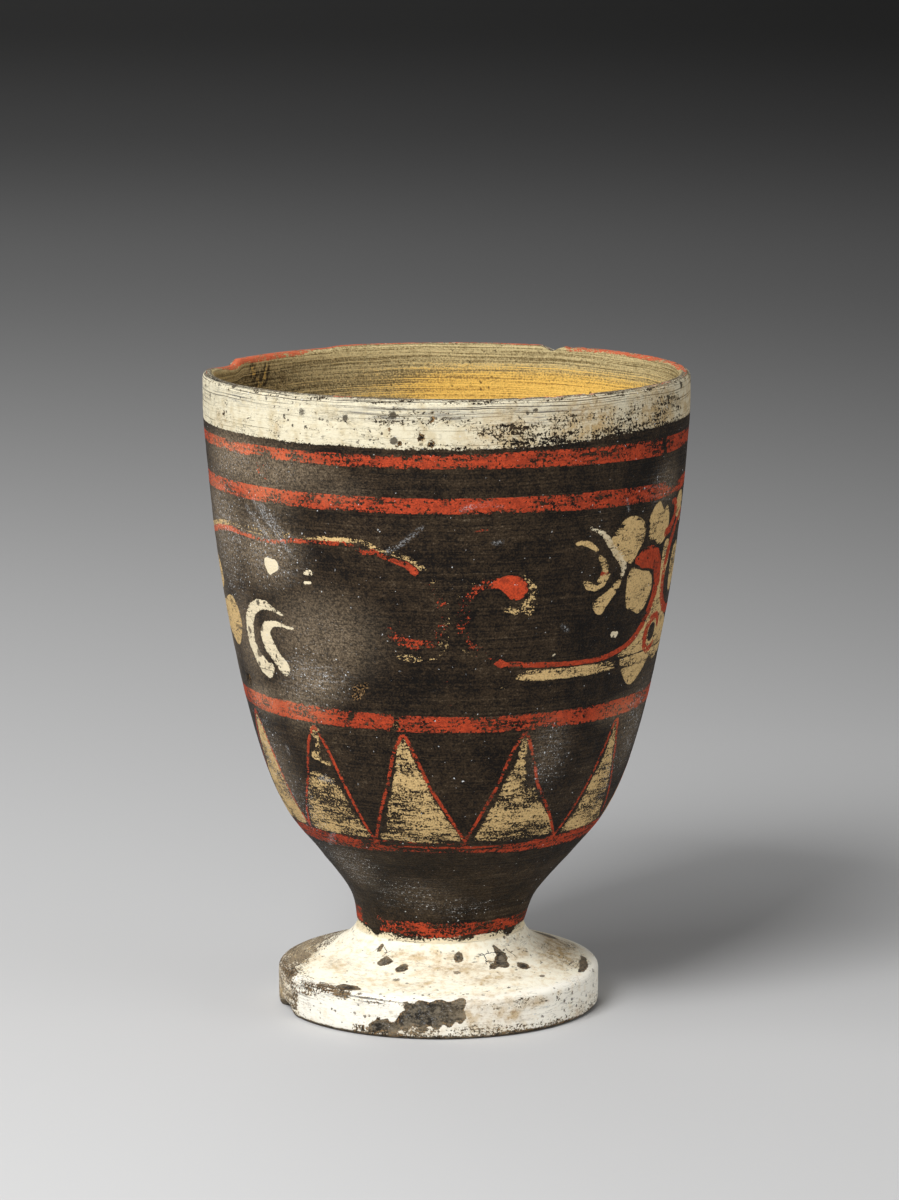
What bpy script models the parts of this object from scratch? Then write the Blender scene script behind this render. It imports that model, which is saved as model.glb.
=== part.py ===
"""A painted earthenware goblet: a thrown bowl on a short solid stem and a thick disc foot.

All of it is one fired piece.

Sizes are in millimetres and the model is in metres, +Z up. The origin is on the resting plane, under
the bowl's axis. Angles run from +X towards +Y, and the side that faces -Y is the one with the best
kept painting.
"""

import math

import bmesh
import bpy
from mathutils import Matrix, Vector

MM = 0.001

# The goblet's own sizes
HEIGHT = 132.8
RIM_RADIUS = 50.0
LIP_THICKNESS = 2.6
WALL_THICKNESS = 4.4
FLOOR_THICKNESS = 14.0
STEM_RADIUS = 17.3
STEM_HEIGHT = 17.0
FOOT_RADIUS = 33.4
FOOT_EDGE_HEIGHT = 8.6
FOOT_TOP_ROUNDING = 1.3
FOOT_BOTTOM_ROUNDING = 1.2
FOOT_EDGE_TURN = 75.0
FOOT_OFF_CENTRE = -1.65

# The bowl's outline from the stem's waist to the rim, as shares of its own rise and of its own spread
BOWL_OUTLINE = (
    (0.000, 0.000),
    (0.061, 0.066),
    (0.138, 0.275),
    (0.216, 0.492),
    (0.320, 0.645),
    (0.475, 0.786),
    (0.682, 0.912),
    (0.898, 0.988),
    (1.000, 1.000),
)
# The top of the foot from its edge to the stem's waist, in the same way
FOOT_OUTLINE = (
    (0.00, 0.00),
    (0.14, 0.23),
    (0.30, 0.50),
    (0.50, 0.76),
    (0.76, 0.93),
    (1.00, 1.00),
)

# The wall reaches its full thickness a third of the way down, and the floor is dished
THICKENING_SHARE = 0.33
FLOOR_FLATNESS = 0.55

# The lip is worn low at the back left, and a flake is out of it at the back right
WORN_LIP_FROM = 183.0
WORN_LIP_DEEPEST = 158.0
WORN_LIP_TO = 153.0
WORN_LIP_DEPTH = 1.4
LIP_REACH = 8.0
RIM_NOTCH_ANGLE = 62.0
RIM_NOTCH_WIDTH = 6.0
RIM_NOTCH_DEPTH = 1.3
FOOT_CHIP_ANGLE = 197.0
FOOT_CHIP_DEPTH = 2.0
FOOT_CHIP_WIDTH = 13.0

# How finely the solid is faceted
SIDES = 80
STEPS_BETWEEN_POINTS = 2
LIP_STEPS = 6
ROUNDING_STEPS = 3
INSIDE_STEPS = 18
FLOOR_STEPS = 6
CUTTER_OVERLAP = 4.0

EARTHENWARE_COLOUR = (0.040, 0.032, 0.025, 1.0)
EARTHENWARE_ROUGHNESS = 0.8
SHARP_EDGE_DEGREES = 40.0


def clear_scene():
    for leftover in list(bpy.data.objects):
        bpy.data.objects.remove(leftover)


def smooth_step(share):
    share = min(1.0, max(0.0, share))
    return share * share * (3.0 - 2.0 * share)


def curve_through(points, steps):
    """A Catmull-Rom curve through (radius, height) points, with so many steps between each two."""
    before = tuple(2 * a - b for a, b in zip(points[0], points[1]))
    after = tuple(2 * a - b for a, b in zip(points[-1], points[-2]))
    padded = [before, *points, after]
    curve = []
    for p0, p1, p2, p3 in zip(padded, padded[1:], padded[2:], padded[3:]):
        for step in range(steps):
            t = step / steps
            point = []
            for a, b, c, d in zip(p0, p1, p2, p3):
                squared = (2 * a - 5 * b + 4 * c - d) * t**2
                cubed = (3 * b - a - 3 * c + d) * t**3
                point.append(0.5 * (2 * b + (c - a) * t + squared + cubed))
            curve.append(tuple(point))
    curve.append(points[-1])
    return curve


def arc(centre, radius, start, end, steps):
    """Points on a quarter turn or so in the radius and height plane, angles in degrees."""
    points = []
    for step in range(steps + 1):
        angle = math.radians(start + (end - start) * step / steps)
        points.append((centre[0] + radius * math.cos(angle), centre[1] + radius * math.sin(angle)))
    return points


def foot_side():
    """The resting face's edge, the upright side and the rounded upper edge of the disc foot."""
    low, high = FOOT_BOTTOM_ROUNDING, FOOT_TOP_ROUNDING
    lower = arc((FOOT_RADIUS - low, low), low, -90, 0, ROUNDING_STEPS)
    upper = arc((FOOT_RADIUS - high, FOOT_EDGE_HEIGHT - high), high, 0, FOOT_EDGE_TURN, ROUNDING_STEPS)
    return lower + upper


def foot_top(edge):
    """The top of the foot, rising from the rounded edge and flaring up into the stem's waist."""
    points = [
        (edge[0] + (STEM_RADIUS - edge[0]) * spread, edge[1] + (STEM_HEIGHT - edge[1]) * rise)
        for rise, spread in FOOT_OUTLINE
    ]
    return curve_through(points, STEPS_BETWEEN_POINTS)


def bowl_outside():
    """The outside of the bowl, from the stem's waist to the start of the rounded lip."""
    top = HEIGHT - LIP_THICKNESS / 2
    points = [
        (STEM_RADIUS + (RIM_RADIUS - STEM_RADIUS) * spread, STEM_HEIGHT + (top - STEM_HEIGHT) * rise)
        for rise, spread in BOWL_OUTLINE
    ]
    return curve_through(points, STEPS_BETWEEN_POINTS)


def lip():
    """The half round lip, from its outside to its inside."""
    centre = (RIM_RADIUS - LIP_THICKNESS / 2, HEIGHT - LIP_THICKNESS / 2)
    return arc(centre, LIP_THICKNESS / 2, 0, 180, LIP_STEPS)


def point_on(curve, share):
    """A point a share of the way along a curve's own length, and the curve's direction there."""
    lengths = [math.dist(a, b) for a, b in zip(curve, curve[1:])]
    left = share * sum(lengths)
    for a, b, length in zip(curve, curve[1:], lengths):
        if left <= length:
            break
        left -= length
    t = min(1.0, left / length)
    point = (a[0] + (b[0] - a[0]) * t, a[1] + (b[1] - a[1]) * t)
    return point, ((b[0] - a[0]) / length, (b[1] - a[1]) / length)


def floor_height():
    return STEM_HEIGHT + FLOOR_THICKNESS


def inside_wall_point(outside, share):
    """The inside of the wall facing a point of the outside; the wall grows thicker below the lip."""
    (radius, height), (along_r, along_z) = point_on(outside, share)
    grown = smooth_step((1.0 - share) / THICKENING_SHARE)
    thickness = LIP_THICKNESS + (WALL_THICKNESS - LIP_THICKNESS) * grown
    return radius - along_z * thickness, height + along_r * thickness


def bowl_inside(outside):
    """The inside wall down to where it turns in, then the dished floor as one curve to the middle."""
    wall = []
    for step in range(1, INSIDE_STEPS):
        inner = inside_wall_point(outside, 1.0 - step / INSIDE_STEPS)
        if inner[0] < STEM_RADIUS or inner[1] < floor_height() + WALL_THICKNESS:
            break
        wall.append(inner)
    edge = wall[-1]
    turn = (edge[0] * FLOOR_FLATNESS, floor_height())
    dish = []
    for step in range(1, FLOOR_STEPS + 1):
        t = step / FLOOR_STEPS
        dish.append(
            (
                (1 - t) ** 2 * edge[0] + 2 * t * (1 - t) * turn[0],
                (1 - t) ** 2 * edge[1] + 2 * t * (1 - t) * turn[1] + t * t * floor_height(),
            )
        )
    return wall + dish


def goblet_profile():
    """The whole half section, from the middle of the resting face to the middle of the bowl's floor."""
    side = foot_side()
    top = foot_top(side[-1])
    outside = bowl_outside()
    return [(0.0, 0.0), *side, *top[1:], *outside[1:], *lip()[1:], *bowl_inside(outside)]


def worn_lip(angle):
    """How far the lip is worn down at an angle in degrees: a long slope that ends in a short step."""
    if angle >= WORN_LIP_DEEPEST:
        share = (WORN_LIP_FROM - angle) / (WORN_LIP_FROM - WORN_LIP_DEEPEST)
    else:
        share = (angle - WORN_LIP_TO) / (WORN_LIP_DEEPEST - WORN_LIP_TO)
    return WORN_LIP_DEPTH * smooth_step(share)


def off_centre(height):
    """The foot and the stem were luted on a little to one side of the bowl's axis."""
    bowl_starts = floor_height() + WALL_THICKNESS
    risen = (height - FOOT_EDGE_HEIGHT) / (bowl_starts - FOOT_EDGE_HEIGHT)
    return FOOT_OFF_CENTRE * (1.0 - smooth_step(risen))


def turn_goblet():
    """Spins the half section into the solid, then shifts the foot and wears down the lip."""
    mesh = bmesh.new()
    corners = [mesh.verts.new((radius * MM, 0.0, height * MM)) for radius, height in goblet_profile()]
    edges = [mesh.edges.new(pair) for pair in zip(corners, corners[1:])]
    bmesh.ops.spin(
        mesh,
        geom=[*corners, *edges],
        cent=(0, 0, 0),
        axis=(0, 0, 1),
        dvec=(0, 0, 0),
        angle=2 * math.pi,
        steps=SIDES,
        use_merge=True,
        use_duplicate=False,
    )
    bmesh.ops.remove_doubles(mesh, verts=mesh.verts, dist=1e-6)
    for vertex in mesh.verts:
        angle = math.degrees(math.atan2(vertex.co.y, vertex.co.x)) % 360.0
        height = vertex.co.z / MM
        near_lip = smooth_step((height - HEIGHT + LIP_REACH) / LIP_REACH)
        vertex.co.z -= worn_lip(angle) * near_lip * MM
        vertex.co.x += off_centre(height) * MM
    bmesh.ops.recalc_face_normals(mesh, faces=mesh.faces)
    return mesh


def object_from(mesh, name):
    data = bpy.data.meshes.new(name)
    mesh.to_mesh(data)
    mesh.free()
    made = bpy.data.objects.new(name, data)
    bpy.context.scene.collection.objects.link(made)
    return made


def cutter_from(mesh, name):
    made = object_from(mesh, name)
    made.hide_render = True
    made.display_type = "WIRE"
    return made


def rim_notch_cutter():
    """A V-shaped wedge across the lip, pointing down."""
    mesh = bmesh.new()
    flare = (RIM_NOTCH_DEPTH + CUTTER_OVERLAP) / RIM_NOTCH_DEPTH
    half_width = RIM_NOTCH_WIDTH / 2 * flare
    tip = HEIGHT - RIM_NOTCH_DEPTH
    section = ((-half_width, HEIGHT + CUTTER_OVERLAP), (0.0, tip), (half_width, HEIGHT + CUTTER_OVERLAP))
    inner = RIM_RADIUS - LIP_THICKNESS - CUTTER_OVERLAP
    corners = [mesh.verts.new((inner * MM, y * MM, z * MM)) for y, z in section]
    face = mesh.faces.new(corners)
    pushed = bmesh.ops.extrude_face_region(mesh, geom=[face])
    outer = [item for item in pushed["geom"] if isinstance(item, bmesh.types.BMVert)]
    bmesh.ops.translate(mesh, verts=outer, vec=((LIP_THICKNESS + 2 * CUTTER_OVERLAP) * MM, 0, 0))
    bmesh.ops.recalc_face_normals(mesh, faces=mesh.faces)
    bmesh.ops.rotate(mesh, verts=mesh.verts, matrix=Matrix.Rotation(math.radians(RIM_NOTCH_ANGLE), 3, "Z"))
    return cutter_from(mesh, "rim_notch_cutter")


def foot_chip_cutter():
    """A ball that scoops a shallow shell-shaped chip out of the foot's lower edge."""
    radius = ((FOOT_CHIP_WIDTH / 2) ** 2 + FOOT_CHIP_DEPTH**2) / (2 * FOOT_CHIP_DEPTH)
    mesh = bmesh.new()
    bmesh.ops.create_icosphere(mesh, subdivisions=3, radius=radius * MM)
    stand_off = (radius - FOOT_CHIP_DEPTH) / math.sqrt(2.0)
    outward = Vector((math.cos(math.radians(FOOT_CHIP_ANGLE)), math.sin(math.radians(FOOT_CHIP_ANGLE)), 0))
    place = outward * (FOOT_RADIUS + stand_off) + Vector((FOOT_OFF_CENTRE, 0, -stand_off))
    bmesh.ops.translate(mesh, verts=mesh.verts, vec=place * MM)
    return cutter_from(mesh, "foot_chip_cutter")


def earthenware():
    material = bpy.data.materials.new("painted_earthenware")
    material.use_nodes = True
    shader = material.node_tree.nodes["Principled BSDF"]
    shader.inputs["Base Color"].default_value = EARTHENWARE_COLOUR
    shader.inputs["Roughness"].default_value = EARTHENWARE_ROUGHNESS
    shader.inputs["Metallic"].default_value = 0.0
    return material


def build_goblet():
    goblet = object_from(turn_goblet(), "goblet")
    goblet.data.materials.append(earthenware())
    goblet.data.shade_smooth()
    goblet.data.set_sharp_from_angle(angle=math.radians(SHARP_EDGE_DEGREES))
    for cutter in (rim_notch_cutter(), foot_chip_cutter()):
        cut = goblet.modifiers.new(cutter.name.replace("_cutter", ""), "BOOLEAN")
        cut.operation = "DIFFERENCE"
        cut.solver = "EXACT"
        cut.object = cutter
    return goblet


clear_scene()
build_goblet()
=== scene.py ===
"""A painted earthenware goblet on a plain studio floor: the looks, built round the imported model.

Shape sizes are in millimetres, and so are the depths of the coats of paint. Angles are in degrees from +X
towards +Y, so 270 faces the camera. Heights are above the resting plane.
"""

import math

import bpy
import numpy as np
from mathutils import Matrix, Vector, noise


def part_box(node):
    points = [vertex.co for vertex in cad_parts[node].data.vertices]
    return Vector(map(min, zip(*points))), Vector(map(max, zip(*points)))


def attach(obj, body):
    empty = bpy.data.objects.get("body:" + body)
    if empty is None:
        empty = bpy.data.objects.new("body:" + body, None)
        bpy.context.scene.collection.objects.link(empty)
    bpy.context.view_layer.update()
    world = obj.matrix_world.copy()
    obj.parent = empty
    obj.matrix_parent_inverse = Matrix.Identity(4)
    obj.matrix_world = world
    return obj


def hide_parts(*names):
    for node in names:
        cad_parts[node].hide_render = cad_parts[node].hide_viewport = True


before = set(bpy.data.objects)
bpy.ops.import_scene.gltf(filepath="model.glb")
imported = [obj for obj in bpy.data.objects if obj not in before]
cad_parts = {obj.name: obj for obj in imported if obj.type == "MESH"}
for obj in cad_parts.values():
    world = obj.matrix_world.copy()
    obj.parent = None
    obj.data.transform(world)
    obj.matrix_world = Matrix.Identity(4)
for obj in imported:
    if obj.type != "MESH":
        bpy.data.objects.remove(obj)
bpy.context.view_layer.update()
bpy.ops.object.select_all(action="DESELECT")


# The clay body: bowl, short stem and disc foot thrown as one piece of dark grey earthenware.
# Its half section is drawn upwards from the middle of the underside, round the lip and down to
# the bowl's floor, and is then spun round the wheel's axis.
MM = 0.001
_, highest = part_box("goblet")
HEIGHT = highest.z / MM
RIM_RADIUS = highest.x / MM
LIP_THICKNESS = 2.6
WALL_THICKNESS = 4.4
FLOOR_THICKNESS = 14.0
THICKENING_SHARE = 0.33
FLOOR_FLATNESS = 0.55
STEM_RADIUS = 17.3
STEM_HEIGHT = 17.0
FOOT_RADIUS = 33.4
FOOT_EDGE_HEIGHT = 8.6
FOOT_TOP_ROUNDING = 1.3
FOOT_BOTTOM_ROUNDING = 1.2
FOOT_EDGE_TURN = 75.0
FOOT_OFF_CENTRE = -1.65
BOWL_OUTLINE = (
    (0, 0), (0.061, 0.066), (0.138, 0.275), (0.216, 0.492), (0.32, 0.645), (0.475, 0.786), (0.682, 0.912),
    (0.898, 0.988), (1, 1),
)
FOOT_OUTLINE = ((0, 0), (0.14, 0.23), (0.3, 0.5), (0.5, 0.76), (0.76, 0.93), (1, 1))
STEPS_ROUND = 480
UNDERSIDE_SPACING = 7.0
FOOT_SPACING = 1.15
BAND_SPACING = 1.25
FRIEZE_SPACING = 0.6
FRIEZE_LOWEST = 69.0
FRIEZE_HIGHEST = 110.5
MOUTH_DEPTH = 13.0
INSIDE_SPACING = 5.0
MERGE_DISTANCE = 0.01 * MM
ROUNDING_STEPS = 4
LIP_STEPS = 8
DISH_STEPS = 24


def smooth_step(share):
    share = np.clip(share, 0.0, 1.0)
    return share * share * (3.0 - 2.0 * share)


def curve_through(points, steps=16):
    """A Catmull-Rom curve through the points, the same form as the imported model's outlines."""
    points = np.array(points, dtype=float)
    padded = np.vstack([2 * points[0] - points[1], points, 2 * points[-1] - points[-2]])
    curve = []
    for a, b, c, d in zip(padded, padded[1:], padded[2:], padded[3:]):
        for t in np.arange(steps) / steps:
            bend = (2 * a - 5 * b + 4 * c - d) * t**2 + (3 * b - a - 3 * c + d) * t**3
            curve.append(0.5 * (2 * b + (c - a) * t + bend))
    return np.array(curve + [points[-1]])


def lengths_along(curve):
    return np.concatenate([[0.0], np.cumsum(np.hypot(*np.diff(curve, axis=0).T))])


def spaced(curve, spacing):
    """The same curve with its points an even distance apart."""
    along = lengths_along(curve)
    stops = np.linspace(0.0, along[-1], max(2, round(along[-1] / spacing) + 1))
    return np.column_stack([np.interp(stops, along, curve[:, side]) for side in (0, 1)])


def arc(centre, radius, start, end, steps):
    angles = np.radians(np.linspace(start, end, steps + 1))
    return np.column_stack([centre[0] + radius * np.cos(angles), centre[1] + radius * np.sin(angles)])


def shares_to_curve(outline, start, end):
    """Turns (rise share, spread share) pairs into a curve from one (radius, height) point to another."""
    start, end = np.array(start), np.array(end)
    return curve_through([start + (end - start) * (spread, rise) for rise, spread in outline])


lip_centre = (RIM_RADIUS - LIP_THICKNESS / 2, HEIGHT - LIP_THICKNESS / 2)
waist = (STEM_RADIUS, STEM_HEIGHT)
foot_low_centre = (FOOT_RADIUS - FOOT_BOTTOM_ROUNDING, FOOT_BOTTOM_ROUNDING)
foot_low = arc(foot_low_centre, FOOT_BOTTOM_ROUNDING, -90, 0, ROUNDING_STEPS)
foot_high_centre = (FOOT_RADIUS - FOOT_TOP_ROUNDING, FOOT_EDGE_HEIGHT - FOOT_TOP_ROUNDING)
foot_high = arc(foot_high_centre, FOOT_TOP_ROUNDING, 0, FOOT_EDGE_TURN, ROUNDING_STEPS)
foot_top = shares_to_curve(FOOT_OUTLINE, foot_high[-1], waist)
bowl_outside = shares_to_curve(BOWL_OUTLINE, waist, (RIM_RADIUS, lip_centre[1]))
lip = arc(lip_centre, LIP_THICKNESS / 2, 0, 180, LIP_STEPS)

along_bowl = lengths_along(bowl_outside)
wall_shares = along_bowl[::-1] / along_bowl[-1]
heading = np.gradient(bowl_outside[::-1], axis=0)
heading /= -np.hypot(*heading.T)[:, None]
grown = smooth_step((1.0 - wall_shares) / THICKENING_SHARE)
thickness = LIP_THICKNESS + (WALL_THICKNESS - LIP_THICKNESS) * grown
bowl_inside = bowl_outside[::-1] + np.column_stack([-heading[:, 1], heading[:, 0]]) * thickness[:, None]
floor_height = STEM_HEIGHT + FLOOR_THICKNESS
above_floor = (bowl_inside[:, 0] > STEM_RADIUS) & (bowl_inside[:, 1] > floor_height + WALL_THICKNESS)
bowl_inside = bowl_inside[: np.argmin(above_floor)]
edge = bowl_inside[-1]
turn = np.array([edge[0] * FLOOR_FLATNESS, floor_height])
t = np.linspace(0.0, 1.0, DISH_STEPS)[:, None]
dish = (1 - t) ** 2 * edge + 2 * t * (1 - t) * turn + t**2 * np.array([0.0, floor_height])
mouth_part = bowl_inside[bowl_inside[:, 1] > HEIGHT - MOUTH_DEPTH]
deep_part = np.vstack([bowl_inside[len(mouth_part) - 1 :], dish[1:]])
frieze_starts = np.argmax(bowl_outside[:, 1] > FRIEZE_LOWEST)
frieze_ends = np.argmax(bowl_outside[:, 1] > FRIEZE_HIGHEST)

parts = (
    spaced(np.array([(0.0, 0.0), foot_low[0]]), UNDERSIDE_SPACING),
    foot_low,
    spaced(np.array([foot_low[-1], foot_high[0]]), FOOT_SPACING),
    foot_high,
    spaced(foot_top, FOOT_SPACING),
    spaced(bowl_outside[: frieze_starts + 1], BAND_SPACING),
    spaced(bowl_outside[frieze_starts : frieze_ends + 1], FRIEZE_SPACING),
    spaced(bowl_outside[frieze_ends:], BAND_SPACING),
    lip,
    spaced(mouth_part, BAND_SPACING),
    spaced(deep_part, INSIDE_SPACING),
)
half_section = np.vstack([parts[0][:1]] + [part[1:] for part in parts])
section_runs = lengths_along(half_section)

bpy.ops.mesh.primitive_plane_add(size=MM, location=(0, 0, 0))
goblet = bpy.context.object
goblet.name = "painted_goblet"
bpy.ops.object.mode_set(mode="EDIT")
bpy.ops.mesh.select_all(action="SELECT")
bpy.ops.mesh.merge(type="CENTER")
for step_out, step_up in np.diff(half_section, axis=0) * MM:
    bpy.ops.mesh.extrude_region_move(TRANSFORM_OT_translate={"value": (step_out, 0.0, step_up)})
bpy.ops.object.mode_set(mode="OBJECT")
run_layer = goblet.data.attributes.new("run", "FLOAT", "POINT")
run_layer.data.foreach_set("value", section_runs)
turned = goblet.modifiers.new("turned", "SCREW")
turned.steps = STEPS_ROUND
turned.render_steps = STEPS_ROUND
turned.use_merge_vertices = True
turned.merge_threshold = MERGE_DISTANCE
bpy.ops.object.modifier_apply(modifier="turned")
bpy.ops.object.mode_set(mode="EDIT")
bpy.ops.mesh.select_all(action="SELECT")
bpy.ops.mesh.remove_doubles(threshold=MERGE_DISTANCE)
bpy.ops.mesh.normals_make_consistent(inside=False)
bpy.ops.object.mode_set(mode="OBJECT")
bpy.ops.object.shade_smooth()

count = len(goblet.data.vertices)
places = np.empty(count * 3)
goblet.data.vertices.foreach_get("co", places)
places = places.reshape(-1, 3) / MM
run = np.empty(count)
goblet.data.attributes["run"].data.foreach_get("value", run)
angle = np.degrees(np.arctan2(places[:, 1], places[:, 0])) % 360.0
radius = np.hypot(places[:, 0], places[:, 1])
height = places[:, 2].copy()
section_radius, section_height = half_section.T
lip_run = section_runs[np.argmax(section_height)]
outside = run < lip_run


# The throwing and the years have left the body uneven: shallow swells and turning ridges, a lip worn low
# at the back left, small nicks and one V-shaped flake out of the lip, pits, and a shell-shaped chip out of
# the foot's lower edge. All of it is worked into the mesh.
SWELL = 0.10
SWELL_LENGTHS = (24.0, 13.0)
RIDGE = 0.045
INSIDE_RIDGE = 0.10
RIDGE_LENGTHS = (45.0, 2.6)
GRIT = 0.022
GRIT_LENGTHS = (1.7, 1.1)
BROKEN_LENGTHS = (0.9, 0.9)
PIT_STEEPNESS = 1.6
NICK_ROUGHNESS = 0.12
CHIP_ROUGHNESS = 0.18
WORN_LIP_FROM = 183.0
WORN_LIP_DEEPEST = 158.0
WORN_LIP_TO = 153.0
WORN_LIP_DEPTH = 1.4
LOW_LIP_TO = 117.0
LOW_LIP_DEPTH = 0.35
LOW_LIP_OVERLAP = 3.0
LOW_LIP_RISES = (6.0, 4.0)
LIP_REACH = 8.0
LIP_NICKS = (
    (62, 6, 1.3), (56.5, 3, 0.35), (128, 4, 0.4), (245, 1.6, 0.2), (287.5, 2.2, 0.35), (295.5, 3, 0.3),
    (305, 1.8, 0.35), (331.5, 2.4, 0.4), (12, 2.5, 0.3),
)
FOOT_CHIP_ANGLE = 197.0
FOOT_CHIP_DEPTH = 2.0
FOOT_CHIP_WIDTH = 13.0
PITS = (
    (200, 71, 1.5, 0.8), (246.5, 73.4, 1.9, 0.45), (245.2, 71.9, 1.1, 0.35), (248.4, 74.4, 0.9, 0.3),
    (264.3, 125.6, 1.3, 0.3), (266.6, 124.2, 1.2, 0.35), (242.3, 127.1, 0.9, 0.3), (257, 127, 0.9, 0.3),
    (266.7, 128.8, 0.8, 0.25), (206.2, 126.8, 1, 0.3), (259.3, 123.8, 1, 0.3), (289, 66, 0.8, 0.25),
    (256.3, 66.8, 1.2, 0.3), (103, 88, 1.6, 0.5), (24, 58, 1.3, 0.45), (140, 118, 1.1, 0.35),
    (68, 74, 1.4, 0.4),
)

over_outside = section_runs <= lip_run
over_inside = section_runs >= lip_run
over_foot_top = over_outside & (section_height <= STEM_HEIGHT) & (section_height >= FOOT_EDGE_HEIGHT - 0.1)
WALLS = {
    "outside": (section_height[over_outside], section_runs[over_outside]),
    "inside": (section_height[over_inside][::-1], section_runs[over_inside][::-1]),
    "foot top": (section_radius[over_foot_top][::-1], section_runs[over_foot_top][::-1]),
}


def run_at(level, wall="outside"):
    """How far along the half section a height is reached, or on the foot's top a distance from the axis."""
    return np.interp(level, *WALLS[wall])


def reach_at(level, wall="outside"):
    """How many millimetres one degree is round the goblet, at a place on a wall."""
    return math.radians(np.interp(run_at(level, wall), section_runs, section_radius))


def distances_from(at_angle, level, wall="outside"):
    """How far round and how far along the half section each point of the surface is from a place, in mm."""
    across = ((angle - at_angle + 180.0) % 360.0 - 180.0) * reach_at(level, wall)
    return across, run - run_at(level, wall)


def clay_noise(round_length, upright_length):
    """Smooth noise from -1 to 1 over the whole surface, with its two lengths in mm."""
    scaled = places / (round_length, round_length, upright_length)
    return np.array([noise.noise(place) for place in scaled.tolist()])


normals = np.empty(count * 3)
goblet.data.vertices.foreach_get("normal", normals)
normals = normals.reshape(-1, 3)
bedded = smooth_step(height / FOOT_BOTTOM_ROUNDING)
ridges = np.where(outside, RIDGE, INSIDE_RIDGE) * clay_noise(*RIDGE_LENGTHS)
relief = (SWELL * clay_noise(*SWELL_LENGTHS) + ridges + GRIT * clay_noise(*GRIT_LENGTHS)) * bedded

for pit_angle, pit_height, pit_radius, pit_depth in PITS:
    across, along = distances_from(pit_angle, pit_height)
    relief -= pit_depth * smooth_step(PIT_STEEPNESS * (1.0 - np.hypot(across, along) / pit_radius))
shaped = places + normals * relief[:, None]

falling = (WORN_LIP_FROM - angle) / (WORN_LIP_FROM - WORN_LIP_DEEPEST)
rising = (angle - WORN_LIP_TO) / (WORN_LIP_DEEPEST - WORN_LIP_TO)
lip_loss = WORN_LIP_DEPTH * smooth_step(np.minimum(falling, rising))
from_right = (angle - LOW_LIP_TO) / LOW_LIP_RISES[0]
from_left = (WORN_LIP_TO + LOW_LIP_OVERLAP - angle) / LOW_LIP_RISES[1]
lip_loss += LOW_LIP_DEPTH * smooth_step(np.minimum(from_right, from_left))
shaped[:, 2] -= lip_loss * smooth_step((height - HEIGHT + LIP_REACH) / LIP_REACH)

broken_clay = clay_noise(*BROKEN_LENGTHS)
for nick_angle, nick_width, nick_depth in LIP_NICKS:
    across = np.abs(distances_from(nick_angle, HEIGHT)[0])
    cut = HEIGHT - nick_depth * np.clip(1.0 - across / (nick_width / 2), 0.0, 1.0)
    cut += NICK_ROUGHNESS * broken_clay
    nicked = (across < nick_width / 2) & (shaped[:, 2] > cut)
    shaped[nicked, 2] = cut[nicked]

bowl_starts = floor_height + WALL_THICKNESS
leaning = 1.0 - smooth_step((height - FOOT_EDGE_HEIGHT) / (bowl_starts - FOOT_EDGE_HEIGHT))
shaped[:, 0] += FOOT_OFF_CENTRE * np.where(outside, leaning, 0.0)

chip_radius = ((FOOT_CHIP_WIDTH / 2) ** 2 + FOOT_CHIP_DEPTH**2) / (2 * FOOT_CHIP_DEPTH)
chip_stand_off = (chip_radius - FOOT_CHIP_DEPTH) / math.sqrt(2.0)
chip_turn = math.radians(FOOT_CHIP_ANGLE)
chip_heading = np.array([math.cos(chip_turn), math.sin(chip_turn), 0.0])
chip_centre = chip_heading * (FOOT_RADIUS + chip_stand_off) + (FOOT_OFF_CENTRE, 0.0, -chip_stand_off)
from_chip = shaped - chip_centre
chip_distance = np.linalg.norm(from_chip, axis=1)
chip_wall = chip_radius + CHIP_ROUGHNESS * broken_clay
chipped = chip_distance < chip_wall
shaped[chipped] = chip_centre + from_chip[chipped] * (chip_wall / chip_distance)[chipped, None]
shaped[:, 2] = np.maximum(shaped[:, 2], 0.0)

goblet.data.vertices.foreach_set("co", (shaped * MM).ravel())
goblet.data.update()


# The coats of paint: cream slip, buff and vermilion, brushed on the dark body after firing. Each coat is
# kept as how deep, in millimetres, every point of the surface lies inside that coat's brush marks, and
# beside them how worn the paint is there, from 0 to 1.
FAR = 5.0
NOTHING = 1e-9
EDGE_REACH = 0.5
coats = {name: np.full(count, -FAR) for name in ("cream", "buff", "red", "scuffed", "triangles")}
LITTLE_WORN = 0.25
worn = np.full(count, LITTLE_WORN)


def band(lower, upper, wall="outside"):
    """A band brushed on the turning wheel, between two edges given as (angle, height) pairs."""
    low, high = (np.interp(angle, *zip(*edge), period=360.0) for edge in (lower, upper))
    return np.where(outside, np.minimum(run - run_at(low, wall), run_at(high, wall) - run), -FAR)


def stroke(marks, turned=0.0, wall="outside"):
    """One brush stroke through (angle, height, half width) marks."""
    depth = np.full(count, -FAR)
    for (start_angle, start_level, start_half), (end_angle, end_level, end_half) in zip(marks, marks[1:]):
        across, along = distances_from(start_angle + turned, start_level, wall)
        rise = run_at(end_level, wall) - run_at(start_level, wall)
        span = (end_angle - start_angle) * reach_at(start_level, wall)
        near = np.abs(across - span / 2) < abs(span) / 2 + FAR
        near &= np.abs(along - rise / 2) < abs(rise) / 2 + FAR
        share = np.clip((across[near] * span + along[near] * rise) / (span**2 + rise**2 + NOTHING), 0.0, 1.0)
        half = start_half + (end_half - start_half) * share
        found = half - np.hypot(across[near] - share * span, along[near] - share * rise)
        depth[near] = np.maximum(depth[near], found)
    return depth


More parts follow.
